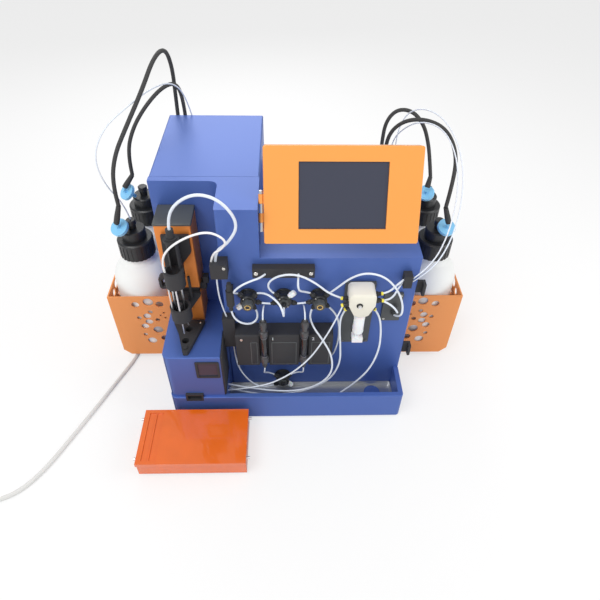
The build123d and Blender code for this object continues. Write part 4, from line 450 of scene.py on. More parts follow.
def shader(name, colour, roughness, metallic=0.0, coat=0.0, tone=0.05, tone_size=30.0,
           grain=0.0, grain_size=900.0, spread=0.05, stretch=(1, 1, 1), **sockets):
    """Principled finish: slow colour drift, fine bump and uneven roughness from noise."""
    made = bpy.data.materials.get(name)
    if made:
        return made
    made = bpy.data.materials.new(name)
    made.use_nodes = True
    nodes, links = made.node_tree.nodes, made.node_tree.links
    surface = nodes["Principled BSDF"]
    surface.inputs["Metallic"].default_value = metallic
    surface.inputs["Coat Weight"].default_value = coat
    surface.inputs["Coat Roughness"].default_value = 0.04
    for socket, value in sockets.items():
        surface.inputs[socket.replace("_", " ")].default_value = value
    place_node = nodes.new("ShaderNodeTexCoord")
    mapping = nodes.new("ShaderNodeMapping")
    mapping.inputs["Scale"].default_value = stretch
    links.new(place_node.outputs["Object"], mapping.inputs["Vector"])
    drift = nodes.new("ShaderNodeTexNoise")
    drift.inputs["Scale"].default_value = tone_size
    drift.inputs["Detail"].default_value = 3
    fine = nodes.new("ShaderNodeTexNoise")
    fine.inputs["Scale"].default_value = grain_size
    fine.inputs["Detail"].default_value = 4
    for noise in (drift, fine):
        links.new(mapping.outputs["Vector"], noise.inputs["Vector"])
    ramp = nodes.new("ShaderNodeValToRGB")
    base = np.array(colour[:3])
    ramp.color_ramp.elements[0].position = 0.3
    ramp.color_ramp.elements[1].position = 0.7
    ramp.color_ramp.elements[0].color = (*np.clip(base * (1 - tone), 0, 1), 1)
    ramp.color_ramp.elements[1].color = (*np.clip(base * (1 + tone), 0, 1), 1)
    links.new(drift.outputs["Fac"], ramp.inputs["Fac"])
    links.new(ramp.outputs["Color"], surface.inputs["Base Color"])
    uneven = nodes.new("ShaderNodeMapRange")
    uneven.inputs["From Min"].default_value = 0.3
    uneven.inputs["From Max"].default_value = 0.7
    uneven.inputs["To Min"].default_value = max(roughness - spread, 0.02)
    uneven.inputs["To Max"].default_value = min(roughness + spread, 1)
    links.new(fine.outputs["Fac"], uneven.inputs["Value"])
    links.new(uneven.outputs["Result"], surface.inputs["Roughness"])
    if grain:
        bump = nodes.new("ShaderNodeBump")
        bump.inputs["Strength"].default_value = grain
        bump.inputs["Distance"].default_value = 0.0002
        links.new(fine.outputs["Fac"], bump.inputs["Height"])
        links.new(bump.outputs["Normal"], surface.inputs["Normal"])
    return made


def material(name):
    """The named finish; a word in place of a colour is one of the sidebar's."""
    colour, roughness, rest = LOOKS[name]
    if isinstance(colour, str):
        colour = getattr(bpy.context.scene.cell_separator_colours, colour)
    return shader(name, colour, roughness, **rest)


# Colour or the sidebar's name for it, roughness, and what else the finish has
LOOKS = {
    "blue_paint": ("housing", 0.24, dict(coat=0.8, tone=0.04, grain=0.06, grain_size=520)),
    "screen_orange": ("screen", 0.34, dict(coat=0.35, tone=0.02, grain=0.05, grain_size=700)),
    "arm_orange": ("arm", 0.28, dict(coat=0.6, tone=0.04, grain=0.05, grain_size=600)),
    "stage_orange": ("stage", 0.22, dict(coat=0.8, tone=0.04, grain=0.06, grain_size=480)),
    "holder_orange": ("holder", 0.5, dict(tone=0.06, grain=0.25, grain_size=1100)),
    "black_plastic": ((0.018, 0.018, 0.02), 0.42, dict(tone=0.25, grain=0.2, grain_size=1300)),
    "black_cap": ((0.02, 0.021, 0.023), 0.38, dict(tone=0.2, grain=0.12, grain_size=1000)),
    "black_smooth": ((0.012, 0.012, 0.013), 0.2, dict(coat=0.3, tone=0.2)),
    "grey_module": ((0.075, 0.082, 0.085), 0.5, dict(tone=0.1, grain=0.3, grain_size=1600)),
    "dark_metal": ((0.2, 0.2, 0.21), 0.35, dict(metallic=1, tone=0.12, grain=0.1, grain_size=1500)),
    "grey_metal": ((0.5, 0.51, 0.53), 0.38, dict(metallic=1, tone=0.06, grain=0.15, stretch=(1, 12, 1))),
    "steel": ((0.66, 0.67, 0.69), 0.24,
              dict(metallic=1, tone=0.05, grain=0.08, grain_size=1200, stretch=(1, 1, 8))),
    "nickel": ((0.74, 0.72, 0.68), 0.22, dict(metallic=1, tone=0.05)),
    "chrome": ((0.82, 0.82, 0.84), 0.08, dict(metallic=1, tone=0.03, spread=0.02)),
    "gold": ((0.78, 0.55, 0.22), 0.25, dict(metallic=1, tone=0.06)),
    "cream_plastic": ((0.84, 0.8, 0.68), 0.42, dict(tone=0.05, grain=0.15, grain_size=1400)),
    "white_plastic": ((0.88, 0.89, 0.9), 0.3,
                      dict(tone=0.03, grain=0.08, Subsurface_Weight=0.15, Subsurface_Scale=0.002)),
    "yellow_ferrule": ((0.92, 0.8, 0.08), 0.35, dict(tone=0.06)),
    "bottle_white": ((0.87, 0.85, 0.84), 0.36,
                     dict(tone=0.02, tone_size=14, grain=0.1, grain_size=500, Subsurface_Weight=0.35,
                          Subsurface_Scale=0.012)),
    "sky_blue": ((0.07, 0.42, 0.9), 0.22, dict(coat=0.4, tone=0.07, tone_size=160)),
    "rubber": ((0.02, 0.02, 0.02), 0.7, dict(tone=0.2, grain=0.4, grain_size=1500)),
    "clear_tube": ((0.74, 0.81, 0.92), 0.16,
                   dict(coat=0.5, tone=0.1, tone_size=90, Transmission_Weight=0.25, IOR=1.34)),
    "white_tube": ((0.92, 0.92, 0.93), 0.25, dict(coat=0.2, tone=0.02)),
    "black_hose": ((0.02, 0.02, 0.022), 0.32, dict(coat=0.3, tone=0.15)),
    "grey_cord": ((0.55, 0.55, 0.55), 0.45, dict(tone=0.05, grain=0.1, grain_size=800)),
    "grey_plug": ((0.5, 0.5, 0.5), 0.48, dict(tone=0.05, grain=0.25, grain_size=1400)),
    "dark_glass": ((0.035, 0.045, 0.07), 0.12, dict(coat=0.5, tone=0.1)),
    "board_green": ((0.02, 0.18, 0.07), 0.35, dict(tone=0.2, tone_size=300)),
    "column_body": ((0.05, 0.05, 0.055), 0.3, dict(coat=0.3, tone=0.2, grain=0.1)),
}

# Finishes of the CAD nodes that stay
NODE_FINISHES = {
    "blue_paint": ("front_fascia", "rear_cover", "rear_panel", "base_pan", "nose_cover"),
    "screen_orange": ("screen_housing",),
    "arm_orange": ("arm_base_block", "arm_column"),
    "stage_orange": ("sampler_base", "sampler_deck"),
    "holder_orange": ("bottle_holder_left", "bottle_holder_right"),
    "black_plastic": ("nose_side_plate", "arm_collar", "needle_carriage", "needle_guide", "wash_station",
                      "reader_bezel", "dock_port", "tube_clamps", "magnet_housing", "power_inlet",
                      "power_switch", "fan_frame", "fan_rotor", "line_sensors"),
    "grey_module": ("arm_cap", "pump_frame", "port_plate"),
    "dark_metal": ("hose_ports", "magnet_slide"),
    "grey_metal": ("drip_tray", "power_supply"),
    "steel": ("lift_screw", "needles", "sampler_rails", "pump_screw"),
    "chrome": ("screen_hinge",),
    "rubber": ("feet",),
    "dark_glass": ("reader_window", "screen_glass"),
    "white_plastic": ("pump_plunger",),
    "black_cap": ("bottle_caps",),
    "bottle_white": ("bottles",),
    "sky_blue": ("bottle_filters",),
    "black_hose": ("hose_boots",),
    "board_green": ("control_board",),
    "grey_plug": ("power_plugs",),
}


# Tubes and the power cord

def route_curve(name, route, diameter):
    """NURBS line with the route as its control points and a round bevel, none at diameter zero."""
    curve = bpy.data.curves.new(name, "CURVE")
    curve.dimensions = "3D"
    curve.bevel_depth = diameter / 2
    curve.bevel_resolution = 3
    curve.resolution_u = 8
    curve.use_fill_caps = True
    spline = curve.splines.new("NURBS")
    spline.points.add(len(route) - 1)
    weighted = np.c_[np.array(route), np.ones(len(route))]
    spline.points.foreach_set("co", weighted.ravel())
    spline.order_u = 3
    spline.use_endpoint_u = True
    made = bpy.data.objects.new(name, curve)
    bpy.context.scene.collection.objects.link(made)
    return made


def route_points(route):
    """Points along the route's NURBS line, in order, in metres."""
    line = route_curve("route_line", route, 0)
    sampled = bpy.data.meshes.new_from_object(line)
    flat = np.empty(len(sampled.vertices) * 3)
    sampled.vertices.foreach_get("co", flat)
    bpy.data.meshes.remove(sampled)
    curve = line.data
    bpy.data.objects.remove(line)
    bpy.data.curves.remove(curve)
    return flat.reshape(-1, 3)


def laid_tube(name, diameter, finish, node):
    """One tube between its fittings, a bevelled curve along its route."""
    made = route_curve(name, ROUTES[name], diameter)
    made.data.materials.append(material(finish))
    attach(made, "housing")
    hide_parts(node)


def moving_tube(name, diameter, finish):
    """Mesh tube from the needle head to the fixed clamp, along its route."""
    path = route_points(ROUTES[name])
    in_panel = path / MM - (0, PANEL_Y, 0)
    made = piece(name, [carried(in_panel, diameter / MM / 2, 14)], [finish])
    made.parent = None
    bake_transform(made)
    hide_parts("needle_lines")


# Middle of the put-away coil, and each turn's radius and height, in metres
COIL_SPOT = (-0.4689, -0.3135)
COIL_ROWS = ((0.047, 0.0040), (0.040, 0.0040), (0.033, 0.0042), (0.036, 0.0108), (0.043, 0.0106))


def coil_turns(start_angle=1.7575, per_turn=16):
    """Control points of the put-away turns.

    Turn k runs once round at radius r_k; its last quarter eases to the next radius and layer.
    """
    angle = np.linspace(0, 2 * math.pi, per_turn, endpoint=False)
    turns = []
    for index, (radius, height) in enumerate(COIL_ROWS):
        following = COIL_ROWS[min(index + 1, len(COIL_ROWS) - 1)]
        share = np.clip(angle / (2 * math.pi) * 4 - 3, 0, 1)
        ease = share * share * (3 - 2 * share)
        reach = (radius + (following[0] - radius) * ease) / math.cos(math.pi / per_turn) ** 0.5
        rise = height + (following[1] - height) * ease
        turn = start_angle + angle
        x, y = COIL_SPOT[0] + reach * np.cos(turn), COIL_SPOT[1] + reach * np.sin(turn)
        turns.append(np.stack((x, y, rise), -1))
    return np.concatenate(turns)


class SeparatorColours(PropertyGroup):
    """Paint colours that a user would change."""

    housing: FloatVectorProperty(name="Housing", description="Paint of the housing", subtype="COLOR",
                                 default=(0.022, 0.075, 0.42), min=0, max=1)
    screen: FloatVectorProperty(name="Screen", description="Moulding of the touch screen", subtype="COLOR",
                                default=(0.93, 0.17, 0.012), min=0, max=1)
    arm: FloatVectorProperty(name="Needle arm", description="Paint of the needle arm", subtype="COLOR",
                             default=(0.78, 0.12, 0.008), min=0, max=1)
    stage: FloatVectorProperty(name="Sampler stage", description="Paint of the sampler stage", subtype="COLOR",
                               default=(0.8, 0.14, 0.01), min=0, max=1)
    holder: FloatVectorProperty(name="Bottle holders", description="Powder coat of the bottle holders",
                                subtype="COLOR", default=(0.62, 0.17, 0.045), min=0, max=1)


class SeparatorSizes(PropertyGroup):
    """Sizes of the pieces that the CAD frame leaves plain."""

    cord: FloatProperty(name="Power cord", description="Diameter of the power cord", unit="LENGTH",
                        subtype="DISTANCE", default=0.007, min=0.004, max=0.012)
    cord_length: FloatProperty(name="Cord length", description="Length of the power cord with its coil",
                               unit="LENGTH", subtype="DISTANCE", default=2.0, min=0.5, max=5)
    screw_head: FloatProperty(name="Screw heads", description="Radius of the panel screws' heads in mm",
                              default=2.3, min=1, max=5)


# Camera: place in millimetres, yaw, pitch and roll in degrees, focal length in millimetres
CAMERA_SPOT = (-3.28, -550.62, 753.43)
CAMERA_TURN = (2.35, 44.31, 1.4)
CAMERA_LENS = 31.37
FLOOR_REACH = 3.0
FLOOR_GLOW = 0.6
WORLD_LEVEL = 0.62

# Lamps: name, place and aim in millimetres, size in metres, power in watts
LAMPS = (
    ("key_softbox", (-700, -700, 1500), (0, 40, 150), 0.9, 13),
    ("side_softbox", (1100, -300, 900), (0, 0, 150), 0.7, 5),
    ("back_strip", (-200, 1200, 1000), (0, 0, 200), 0.8, 6),
)


class SeparatorStage(Operator):
    """Sets the camera, the lamps, the pale floor and the backdrop"""

    bl_idname = "cell_separator.stage"
    bl_label = "Stage"

    def execute(self, context):
        scene = context.scene
        scene.view_settings.view_transform = "Standard"
        camera_data = bpy.data.cameras.new("camera")
        camera_data.lens = CAMERA_LENS
        camera_data.sensor_width = 36
        camera_data.clip_end = 20
        camera = bpy.data.objects.new("camera", camera_data)
        yaw, pitch, roll = (math.radians(a) for a in CAMERA_TURN)
        forward = Vector((math.sin(yaw) * math.cos(pitch), math.cos(yaw) * math.cos(pitch), -math.sin(pitch)))
        right = Vector((math.cos(yaw), -math.sin(yaw), 0))
        up = right.cross(forward)
        right_rolled = right * math.cos(roll) + up * math.sin(roll)
        up_rolled = up * math.cos(roll) - right * math.sin(roll)
        turn = Matrix((right_rolled, up_rolled, -forward)).transposed().to_4x4()
        camera.matrix_world = Matrix.Translation(place(CAMERA_SPOT)) @ turn
        scene.collection.objects.link(camera)
        scene.camera = camera

        world = bpy.data.worlds.new("studio")
        world.use_nodes = True
        nodes, links = world.node_tree.nodes, world.node_tree.links
        background = nodes["Background"]
        background.inputs["Color"].default_value = (1, 1, 1, 1)
        path = nodes.new("ShaderNodeLightPath")
        seen = nodes.new("ShaderNodeMath")
        seen.operation = "MAXIMUM"
        links.new(path.outputs["Is Camera Ray"], seen.inputs[0])
        links.new(path.outputs["Is Transmission Ray"], seen.inputs[1])
        level = nodes.new("ShaderNodeMapRange")
        level.inputs["To Min"].default_value = WORLD_LEVEL
        level.inputs["To Max"].default_value = 1.0
        links.new(seen.outputs["Value"], level.inputs["Value"])
        links.new(level.outputs["Result"], background.inputs["Strength"])
        scene.world = world

        for name, where, aim, size, power in LAMPS:
            lamp_data = bpy.data.lights.new(name, "AREA")
            lamp_data.shape = "SQUARE"
            lamp_data.size = size
            lamp_data.energy = power
            lamp = bpy.data.objects.new(name, lamp_data)
            aim_way = Vector(place(aim)) - Vector(place(where))
            facing = aim_way.to_track_quat("-Z", "Y").to_matrix().to_4x4()
            lamp.matrix_world = Matrix.Translation(place(where)) @ facing
            scene.collection.objects.link(lamp)

        floor_mesh = bpy.data.meshes.new("floor")
        reach = FLOOR_REACH
        corners = [(-reach, -reach, 0), (reach, -reach, 0), (reach, reach, 0), (-reach, reach, 0)]
        floor_mesh.from_pydata(corners, [], [(0, 1, 2, 3)])
        floor = bpy.data.objects.new("floor", floor_mesh)
        paper = bpy.data.materials.new("pale_floor")
        paper.use_nodes = True
        nodes, links = paper.node_tree.nodes, paper.node_tree.links
        matt = nodes["Principled BSDF"]
        matt.inputs["Base Color"].default_value = (0.9, 0.9, 0.9, 1)
        matt.inputs["Roughness"].default_value = 0.9
        glow = nodes.new("ShaderNodeEmission")
        glow.inputs["Color"].default_value = (1, 1, 1, 1)
        mix = nodes.new("ShaderNodeMixShader")
        path = nodes.new("ShaderNodeLightPath")
        seen = nodes.new("ShaderNodeMath")
        seen.operation = "MULTIPLY"
        seen.inputs[1].default_value = FLOOR_GLOW
        links.new(path.outputs["Is Camera Ray"], seen.inputs[0])
        links.new(seen.outputs["Value"], mix.inputs["Fac"])
        links.new(matt.outputs["BSDF"], mix.inputs[1])
        links.new(glow.outputs["Emission"], mix.inputs[2])
        links.new(mix.outputs["Shader"], nodes["Material Output"].inputs["Surface"])
        floor_mesh.materials.append(paper)
        scene.collection.objects.link(floor)
        return {"FINISHED"}


class SeparatorNodes(Operator):
    """Gives each CAD node that stays its finish"""

    bl_idname = "cell_separator.nodes"
    bl_label = "CAD finishes"

    def execute(self, context):
        for finish, names in NODE_FINISHES.items():
            for name in names:
                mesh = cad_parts[name].data
                mesh.materials.clear()
                mesh.materials.append(material(finish))
        return {"FINISHED"}


class SeparatorTubing(Operator):
    """Lays the fluid lines, the bottle hoses and the two lines of the needle head"""

    bl_idname = "cell_separator.tubing"
    bl_label = "Tubing"

    def execute(self, context):
        for name, (diameter, length) in FLUID_LINES.items():
            laid_tube(name, diameter, "clear_tube", "fluid_lines")
        for name, (diameter, length, finish) in BOTTLE_HOSES.items():
            laid_tube(name, diameter, finish, "bottle_hoses")
        for name, (diameter, length, finish) in NEEDLE_LINES.items():
            moving_tube(name, diameter, finish)
        for name in ("short_link_left", "short_link_right"):
            ends = np.array(ROUTES[name]) / MM - (0, PANEL_Y, 0)
            path = ends[0] + np.linspace(0, 1, 6)[:, None] * (ends[1] - ends[0])
            link = piece(name, [carried(path, 1.5, 14)], ["clear_tube"])
            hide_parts("fluid_lines")
        return {"FINISHED"}


class SeparatorPowerCord(Operator):
    """Lays the power cord with its put-away coil and the inlet plug's strain relief"""

    bl_idname = "cell_separator.power_cord"
    bl_label = "Power cord"

    def execute(self, context):
        sizes = context.scene.cell_separator_sizes
        route = np.concatenate((np.array(ROUTES["cord_route"]), coil_turns()))
        cord = route_curve("power_cord_line", route, sizes.cord)
        cord.data.resolution_u = 6
        cord.data.materials.append(material("grey_cord"))
        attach(cord, "housing")
        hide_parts("power_cord", "cord_coil")
        start = ROUTES["cord_route"][0]
        inlet = np.array(start) / MM - (0, PANEL_Y, 0)
        steps = np.arange(18)
        rows = np.c_[8.0 - 0.24 * steps - 0.9 * (steps % 4 >= 2), -1.15 * steps]
        rows = [(0, 0)] + rows.tolist() + [(0, rows[-1, 1])]
        relief = piece("inlet_strain_relief", [turned(inlet, (0, 1, 0), rows, 28)], ["grey_plug"])
        return {"FINISHED"}


# Detail pieces.  A profile's rows are (radius, height) or (radius, height, 1), where the 1
# marks a ribbed row of a turned body and a flat-sided row of a hexagonal one.

FRONT = (0, -1, 0)
UP = (0, 0, 1)
FITTING_DEPTH = 12

# Name, x, z, reach of the front, angles of the side fittings, port in front, angle of the plug
VALVES = (
    ("valve_1", -56, 227, 28, (135, 45, -15, -60), False, 225),
    ("valve_2", -4.5, 227, 28, (135, 200, -20), True, 45),
    ("valve_3", 47, 227, 28, (135, 45, 195, 240, -45), False, None),
    ("valve_4", -7, 40, 24, (135, 45, 225), True, -45),
)
VALVE_BARREL = [
    (0, 0), (12.4, 0), (13, 0.5), (13, 2), (12.5, 2.5), (11.2, 2.5), (11.2, 3.4), (11, 3.6), (11, 7),
    (10.5, 7.3), (10.5, 8), (11, 8.3), (11, 15.6), (10.4, 16.2), (10.4, 16.8), (10.9, 17.2), (10.2, 18), (0, 18),
]
SIDE_PORT = [
    (0, 7.5), (4, 7.5), (4, 11.3), (3.2, 11.7), (3.2, 12.1), (3.9, 12.5), (4, 12.7, 1), (4, 16.6, 1),
    (3.3, 17.2), (2.6, 17.6), (2.6, 19.5), (2.2, 20), (0, 20),
]
WHITE_PLUG = [
    (0, 11), (3.4, 11), (3.4, 13), (4.3, 13.6), (4.4, 14, 1), (4.4, 20.5, 1), (4, 21.6), (2.6, 22.6), (0, 23),
]


def spoke(angle):
    """Direction in the panel's plane, at an angle in degrees from the x axis."""
    return (math.cos(math.radians(angle)), 0, math.sin(math.radians(angle)))


def valve_front(origin, reach, with_port):
    """Front of a valve: a port on a hexagonal base, or a hexagonal cap with a gold ring."""
    if with_port:
        base = [(0, 17.5), (7.6, 17.5, 1), (7.6, 18.9, 1), (6.8, 19.6), (0, 19.6)]
        port = [(0, 19), (4, 19, 1), (4, reach - 1.2, 1), (3.4, reach - 0.5), (1.9, reach), (0, reach)]
        return [hexed(origin, FRONT, base, 1, turn=0.2), hexed(origin, FRONT, port)]
    cap = [
        (0, 17.5), (8.4, 17.5, 1), (8.4, reach - 2.2, 1), (7.5, reach - 1.4), (6.2, reach - 1.2),
        (0, reach - 1.2),
    ]
    ring = [
        (3.1, reach - 1.6), (4.6, reach - 1.6), (4.6, reach - 0.6), (4.1, reach - 0.2),
        (3.5, reach - 0.2), (3.1, reach - 0.6), (3.1, reach - 1.6),
    ]
    centre = [(0, reach - 1.8), (3, reach - 1.8), (3, reach - 0.7), (2.4, reach - 0.4), (0, reach - 0.4)]
    return [
        hexed(origin, FRONT, cap, 1, turn=0.26),
        turned(origin, FRONT, ring, 40, finish=2),
        turned(origin, FRONT, centre, 32),
    ]


def valve_shells(x, z, reach, angles, with_port, plug_angle):
    """Barrel, front, two screws, ribbed side fittings and, where there is one, the white plug."""
    origin = (x, 0, z)
    parts = [turned(origin, FRONT, VALVE_BARREL, 56)] + valve_front(origin, reach, with_port)
    for angle in (128, 308):
        head = np.array(origin) + 9.6 * np.array(spoke(angle)) + (0, -18, 0)
        parts.append(screw(head, FRONT, 1.2, 0.8, 3))
    centre = (x, -FITTING_DEPTH, z)
    parts += [turned(centre, spoke(angle), SIDE_PORT, 36, ribs=12, rib_depth=0.7) for angle in angles]
    if plug_angle is not None:
        parts.append(turned(centre, spoke(plug_angle), WHITE_PLUG, 40, ribs=10, rib_depth=0.6, finish=4))
    return parts


class SeparatorValves(Operator):
    """Makes the four valves with their caps, side fittings and closing plugs"""

    bl_idname = "cell_separator.valves"
    bl_label = "Valves"

    def execute(self, context):
        finishes = ["black_cap", "grey_module", "gold", "nickel", "white_plastic"]
        for name, *shape in VALVES:
            piece(name + "_body", valve_shells(*shape), finishes, replaces=[name])
        return {"FINISHED"}


COLUMN_SPOTS = (-35, 26)
COLUMN_FOOT = (-30, 97)
COLUMN_COLLAR = [(6.7, 15), (6.9, 15.6, 1), (6.9, 24.4, 1), (6.5, 25.2), (5.2, 25.8), (5, 26.4)]
COLUMN_LOWER = [
    (0, 0), (2.2, 0), (2.4, 0.4), (2.4, 4), (3.8, 4), (4.3, 4.6, 1), (4.3, 13, 1), (3.6, 13.8), (5.2, 14.4),
    *COLUMN_COLLAR,
]
COLUMN_UPPER = [
    (0, 25), COLUMN_COLLAR[-1], (5, 72.6), (5.2, 73.6), (6.6, 74.6), (6.9, 75.4, 1), (6.9, 83, 1), (6.4, 84),
    (4.4, 85), (4.4, 91.6), (5.4, 92), (5.8, 92.8, 1), (5.8, 103, 1), (5.2, 104), (3, 104.8), (3, 107.4),
    (2.4, 108), (0, 108),
]
COLUMN_BAND = [(5, 30), (5.15, 30.4), (5.15, 69), (5, 69.4)]
MAGNET_FACE = (0, -27.05, 0)
MAGNET_PANELS = ((-56, -45), (-24, 15), (37, 66))
NUMBERS = (("1", -21.5), ("2", 39.5))
NUMBER_SIZE = 0.0085


class SeparatorColumns(Operator):
    """Makes the two separation columns and the screw, panels and numbers of the magnet unit"""

    bl_idname = "cell_separator.columns"
    bl_label = "Columns"

    def execute(self, context):
        parts = []
        for x in COLUMN_SPOTS:
            base = (x, *COLUMN_FOOT)
            parts += [
                turned(base, UP, COLUMN_LOWER, 48, ribs=16, rib_depth=0.55),
                turned(base, UP, COLUMN_UPPER, 48, ribs=16, rib_depth=0.5),
                turned(base, UP, COLUMN_BAND, 40, finish=1),
            ]
            for h in (28.4, 70.6):
                ring = [(4.8, h - 0.9), (5.5, h - 0.7), (5.5, h + 0.7), (4.8, h + 0.9), (4.8, h - 0.9)]
                parts.append(turned(base, UP, ring, 40, finish=2))
        piece("columns", parts, ["column_body", "black_smooth", "dark_metal"],
              replaces=["separation_columns"])
        piece("magnet_screw", [screw((-69, -27, 158.5), FRONT, 2.2, 1.4)], ["nickel"])
        panels = []
        for x0, x1 in MAGNET_PANELS:
            rim = rounded(x0, x1, 100.5, 152.5, 1.2)
            inner = rounded(x0 + 1.5, x1 - 1.5, 102, 151, 0.8)
            panels += [
                plate(rim, MAGNET_FACE, (1, 0, 0), UP, -0.2, 0.35, 0.2),
                plate(inner, MAGNET_FACE, (1, 0, 0), UP, 0.2, 0.5, 0.1, finish=1),
            ]
        piece("magnet_panels", panels, ["grey_module", "black_plastic"])
        for digit, x in NUMBERS:
            self.number(context, digit, x)
        return {"FINISHED"}

    def number(self, context, digit, x):
        """One raised number on the magnet unit's face."""
        text = bpy.data.curves.new("number_" + digit, "FONT")
        text.body = digit
        text.size = NUMBER_SIZE
        text.extrude = 0.0001
        text.align_x = "CENTER"
        lettered = bpy.data.objects.new("number_" + digit, text)
        mesh = bpy.data.meshes.new_from_object(lettered)
        bpy.data.objects.remove(lettered)
        stand = Matrix.Rotation(math.radians(90), 4, "X")
        mesh.transform(Matrix.Translation(place((x, -27.1, 157))) @ stand)
        mesh.materials.clear()
        mesh.materials.append(material("white_plastic"))
        number = bpy.data.objects.new("number_" + digit, mesh)
        context.scene.collection.objects.link(number)
        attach(number, "housing")


PUMP_X = 106
HEAD_TOP, HEAD_LOW, HEAD_HALF = 256, 214, 19
HEAD_MIDDLE = HEAD_LOW + 0.36 * (HEAD_TOP - HEAD_LOW)
HEAD_CORNER = 7
HEAD_LOBE = 18.5
PUMP_FITTING = [
    (0, -3), (3.9, -3), (3.9, 0.6), (3.4, 1), (4, 1.4, 1), (4, 4.4, 1), (3.2, 5), (2.9, 5.4), (2.9, 8.6),
    (2.4, 9), (0, 9),
]
PUMP_FERRULE = [(0, 8.4), (2.5, 8.4), (2.7, 9), (2.7, 11.4), (1.9, 12.2), (0, 12.2)]
KNOB_RIM = [(0, -1), (4.6, -1), (4.6, 1.2), (4.1, 1.8), (3.4, 1.8), (3.2, 1.2), (0, 1.2)]
KNOB_CENTRE = [(0, 1), (2.6, 1), (2.6, 3.6), (2, 4.8), (0, 5)]
SYRINGE_FOOT = (PUMP_X, -24, 170)
SYRINGE_BARREL = [
    (3.4, 0), (5.6, 0), (6.2, 0.5), (7.9, 4), (8, 5), (8, 35.2), (7.6, 36), (6.2, 37.4), (6, 38.4), (6, 42),
    (0, 42), (0, 36), (6.4, 36), (6.4, 3), (3.4, 3), (3.4, 0),
]


def head_outline():
    """Outline of the pump head: round upper corners and a round lower lobe."""
    x, half, r = PUMP_X, HEAD_HALF, HEAD_CORNER
    arc = np.linspace(-0.62, 0.62, 13) + 1.5 * math.pi
    corner = np.linspace(0, math.pi / 2, 6)
    rise, reach = HEAD_TOP - r, half - r
    right_top = np.stack((x + reach + r * np.cos(corner), rise + r * np.sin(corner)), -1)
    left_top = np.stack((x - reach - r * np.sin(corner), rise + r * np.cos(corner)), -1)
    lobe_z = HEAD_LOW + 16.5
    lower = np.stack((x + HEAD_LOBE * np.cos(arc), lobe_z + HEAD_LOBE * np.sin(arc)), -1)
    shoulder = HEAD_MIDDLE + 5
    return np.concatenate((lower, [(x + half, shoulder)], right_top, left_top, [(x - half, shoulder)]))


class SeparatorPump(Operator):
    """Makes the pump head with its fittings, the syringe and the pump's small parts"""

    bl_idname = "cell_separator.pump"
    bl_label = "Syringe pump"

    def execute(self, context):
        x, side = PUMP_X, HEAD_HALF - 1
        outline = head_outline()
        crown = outline * 0.86 + (x * 0.14, 236 * 0.14)
        parts = [
            plate(outline, (0, -4, 0), (1, 0, 0), UP, 0, 30, 2.2, 5),
            plate(crown, (0, -33.6, 0), (1, 0, 0), UP, 0, 0.9, 0.5, 3),
        ]
        for fitting_x, depth, z, way in (
            (x + side, 20, HEAD_TOP - 10, (1, 0, 0.1)),
            (x + side, 29, HEAD_TOP - 14, (1, 0, 0)),
            (x + side, 20, HEAD_MIDDLE + 7, (1, 0, -0.2)),
            (x - side, 20, HEAD_MIDDLE + 9, (-1, 0, 0)),
            (x - side, 29, HEAD_MIDDLE + 7, (-1, 0, -0.3)),
            (x + 14, 20, HEAD_LOW + 9, (0.7, 0, -0.7)),
            (x - 14, 20, HEAD_LOW + 9, (-0.7, 0, -0.7)),
        ):
            origin = (fitting_x, -depth, z)
            parts.append(turned(origin, way, PUMP_FITTING, 36, ribs=12, rib_depth=0.6, finish=1))
            parts.append(turned(origin, way, PUMP_FERRULE, 24, finish=2))
        knob = (x - 4, -34, HEAD_MIDDLE + 8)
        parts.append(turned(knob, FRONT, KNOB_RIM, 32, finish=1))
        parts.append(turned(knob, FRONT, KNOB_CENTRE, 24, finish=3))
        piece("pump_head_body", parts, ["cream_plastic", "black_cap", "yellow_ferrule", "chrome"],
              replaces=["pump_head"])

        parts = [turned(SYRINGE_FOOT, UP, SYRINGE_BARREL, 48)]
        for h in (6.2, 34.2):
            ring = [(7.7, h - 0.7), (8.35, h - 0.4), (8.35, h + 0.4), (7.7, h + 0.7), (7.7, h - 0.7)]
            parts.append(turned(SYRINGE_FOOT, UP, ring, 40, finish=1))
        piece("syringe", parts, ["white_plastic", "bottle_white"], replaces=["syringe_barrel"])
        corners = [(x + dx, -4, z) for dx in (-18.5, 18.5) for z in (129.5, 249.5)]
        piece("pump_plate_screws", [screw(spot, FRONT, 2, 1.3) for spot in corners], ["dark_metal"])
        return {"FINISHED"}


PORT_SPOTS = ((160, -4, 206), (160, -4, 194))
PORT_FITTING = [
    (0, -0.5), (4.4, -0.5), (4.4, 1), (4.5, 1.2, 1), (4.5, 3, 1), (3.6, 3.4), (3.1, 3.8), (3.1, 6.8),
    (2.6, 7.2), (0, 7.2),
]
# Black disc laid on the bar's face in place of its hole: painted shade of the hole's inside
BAR_HOLE_SHADE_DISC = [(0, -0.3), (1.5, -0.3), (1.5, 0.12), (0, 0.12)]


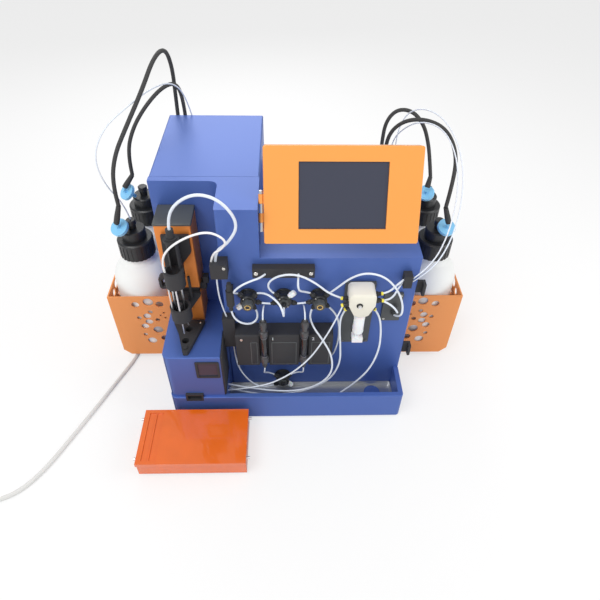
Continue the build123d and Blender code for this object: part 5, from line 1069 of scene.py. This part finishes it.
class SeparatorHolders(Operator):
    """Adds the screws of the tube clamps, the wash station and the plates, and the port fittings"""

    bl_idname = "cell_separator.clamp_fittings"
    bl_label = "Clamp fittings"

    def execute(self, context):
        r = context.scene.cell_separator_sizes.screw_head
        screws = (
            ((-84.5, -20, 294), FRONT, r, 1.2),
            ((-42.6, -11, 277.3), FRONT, r + 0.8, 1.4),
            ((33.2, -11, 277.3), FRONT, r + 0.8, 1.4),
            ((146.5, -4, 179.5), FRONT, r * 0.8, 1.2),
            ((167, -4, 227), FRONT, r * 0.8, 1.2),
            ((-170.5, 9, 158), UP, r * 0.75, 0.9),
            ((-134, 9, 158), UP, r * 0.75, 0.9),
        )
        piece("holder_screws", [screw(*row) for row in screws], ["nickel"])
        # A black disc stands for the hole in the bar: painted shade, not a real part
        piece("bar_hole", [turned((-5, -11.02, 277), FRONT, BAR_HOLE_SHADE_DISC, 24)], ["black_smooth"])
        ports = [turned(spot, FRONT, PORT_FITTING, 36, ribs=12, rib_depth=0.5) for spot in PORT_SPOTS]
        piece("port_fittings", ports, ["black_cap"])
        return {"FINISHED"}


class SeparatorPanel(Panel):
    """Lists the colours, the sizes and the piece groups"""

    bl_idname = "VIEW3D_PT_cell_separator"
    bl_label = "Cell Separator"
    bl_space_type = "VIEW_3D"
    bl_region_type = "UI"
    bl_category = "Separator"

    def draw(self, context):
        colours = context.scene.cell_separator_colours
        for name in ("housing", "screen", "arm", "stage", "holder"):
            self.layout.prop(colours, name)
        sizes = context.scene.cell_separator_sizes
        for name in ("cord", "cord_length", "screw_head"):
            self.layout.prop(sizes, name)
        for operator in OPERATORS:
            self.layout.operator(operator.bl_idname)


OPERATORS = (
    SeparatorStage,
    SeparatorNodes,
    SeparatorTubing,
    SeparatorPowerCord,
    SeparatorValves,
    SeparatorColumns,
    SeparatorPump,
    SeparatorHolders,
)
CLASSES = (SeparatorColours, SeparatorSizes, *OPERATORS, SeparatorPanel)


def register():
    for item in CLASSES:
        bpy.utils.register_class(item)
    bpy.types.Scene.cell_separator_colours = PointerProperty(type=SeparatorColours)
    bpy.types.Scene.cell_separator_sizes = PointerProperty(type=SeparatorSizes)


def unregister():
    del bpy.types.Scene.cell_separator_sizes
    del bpy.types.Scene.cell_separator_colours
    for item in reversed(CLASSES):
        bpy.utils.unregister_class(item)


def main():
    """Registers the add-on and builds every group in order."""
    register()
    for operator in OPERATORS:
        getattr(bpy.ops.cell_separator, operator.bl_idname.split(".")[1])()


if __name__ == "__main__":
    main()
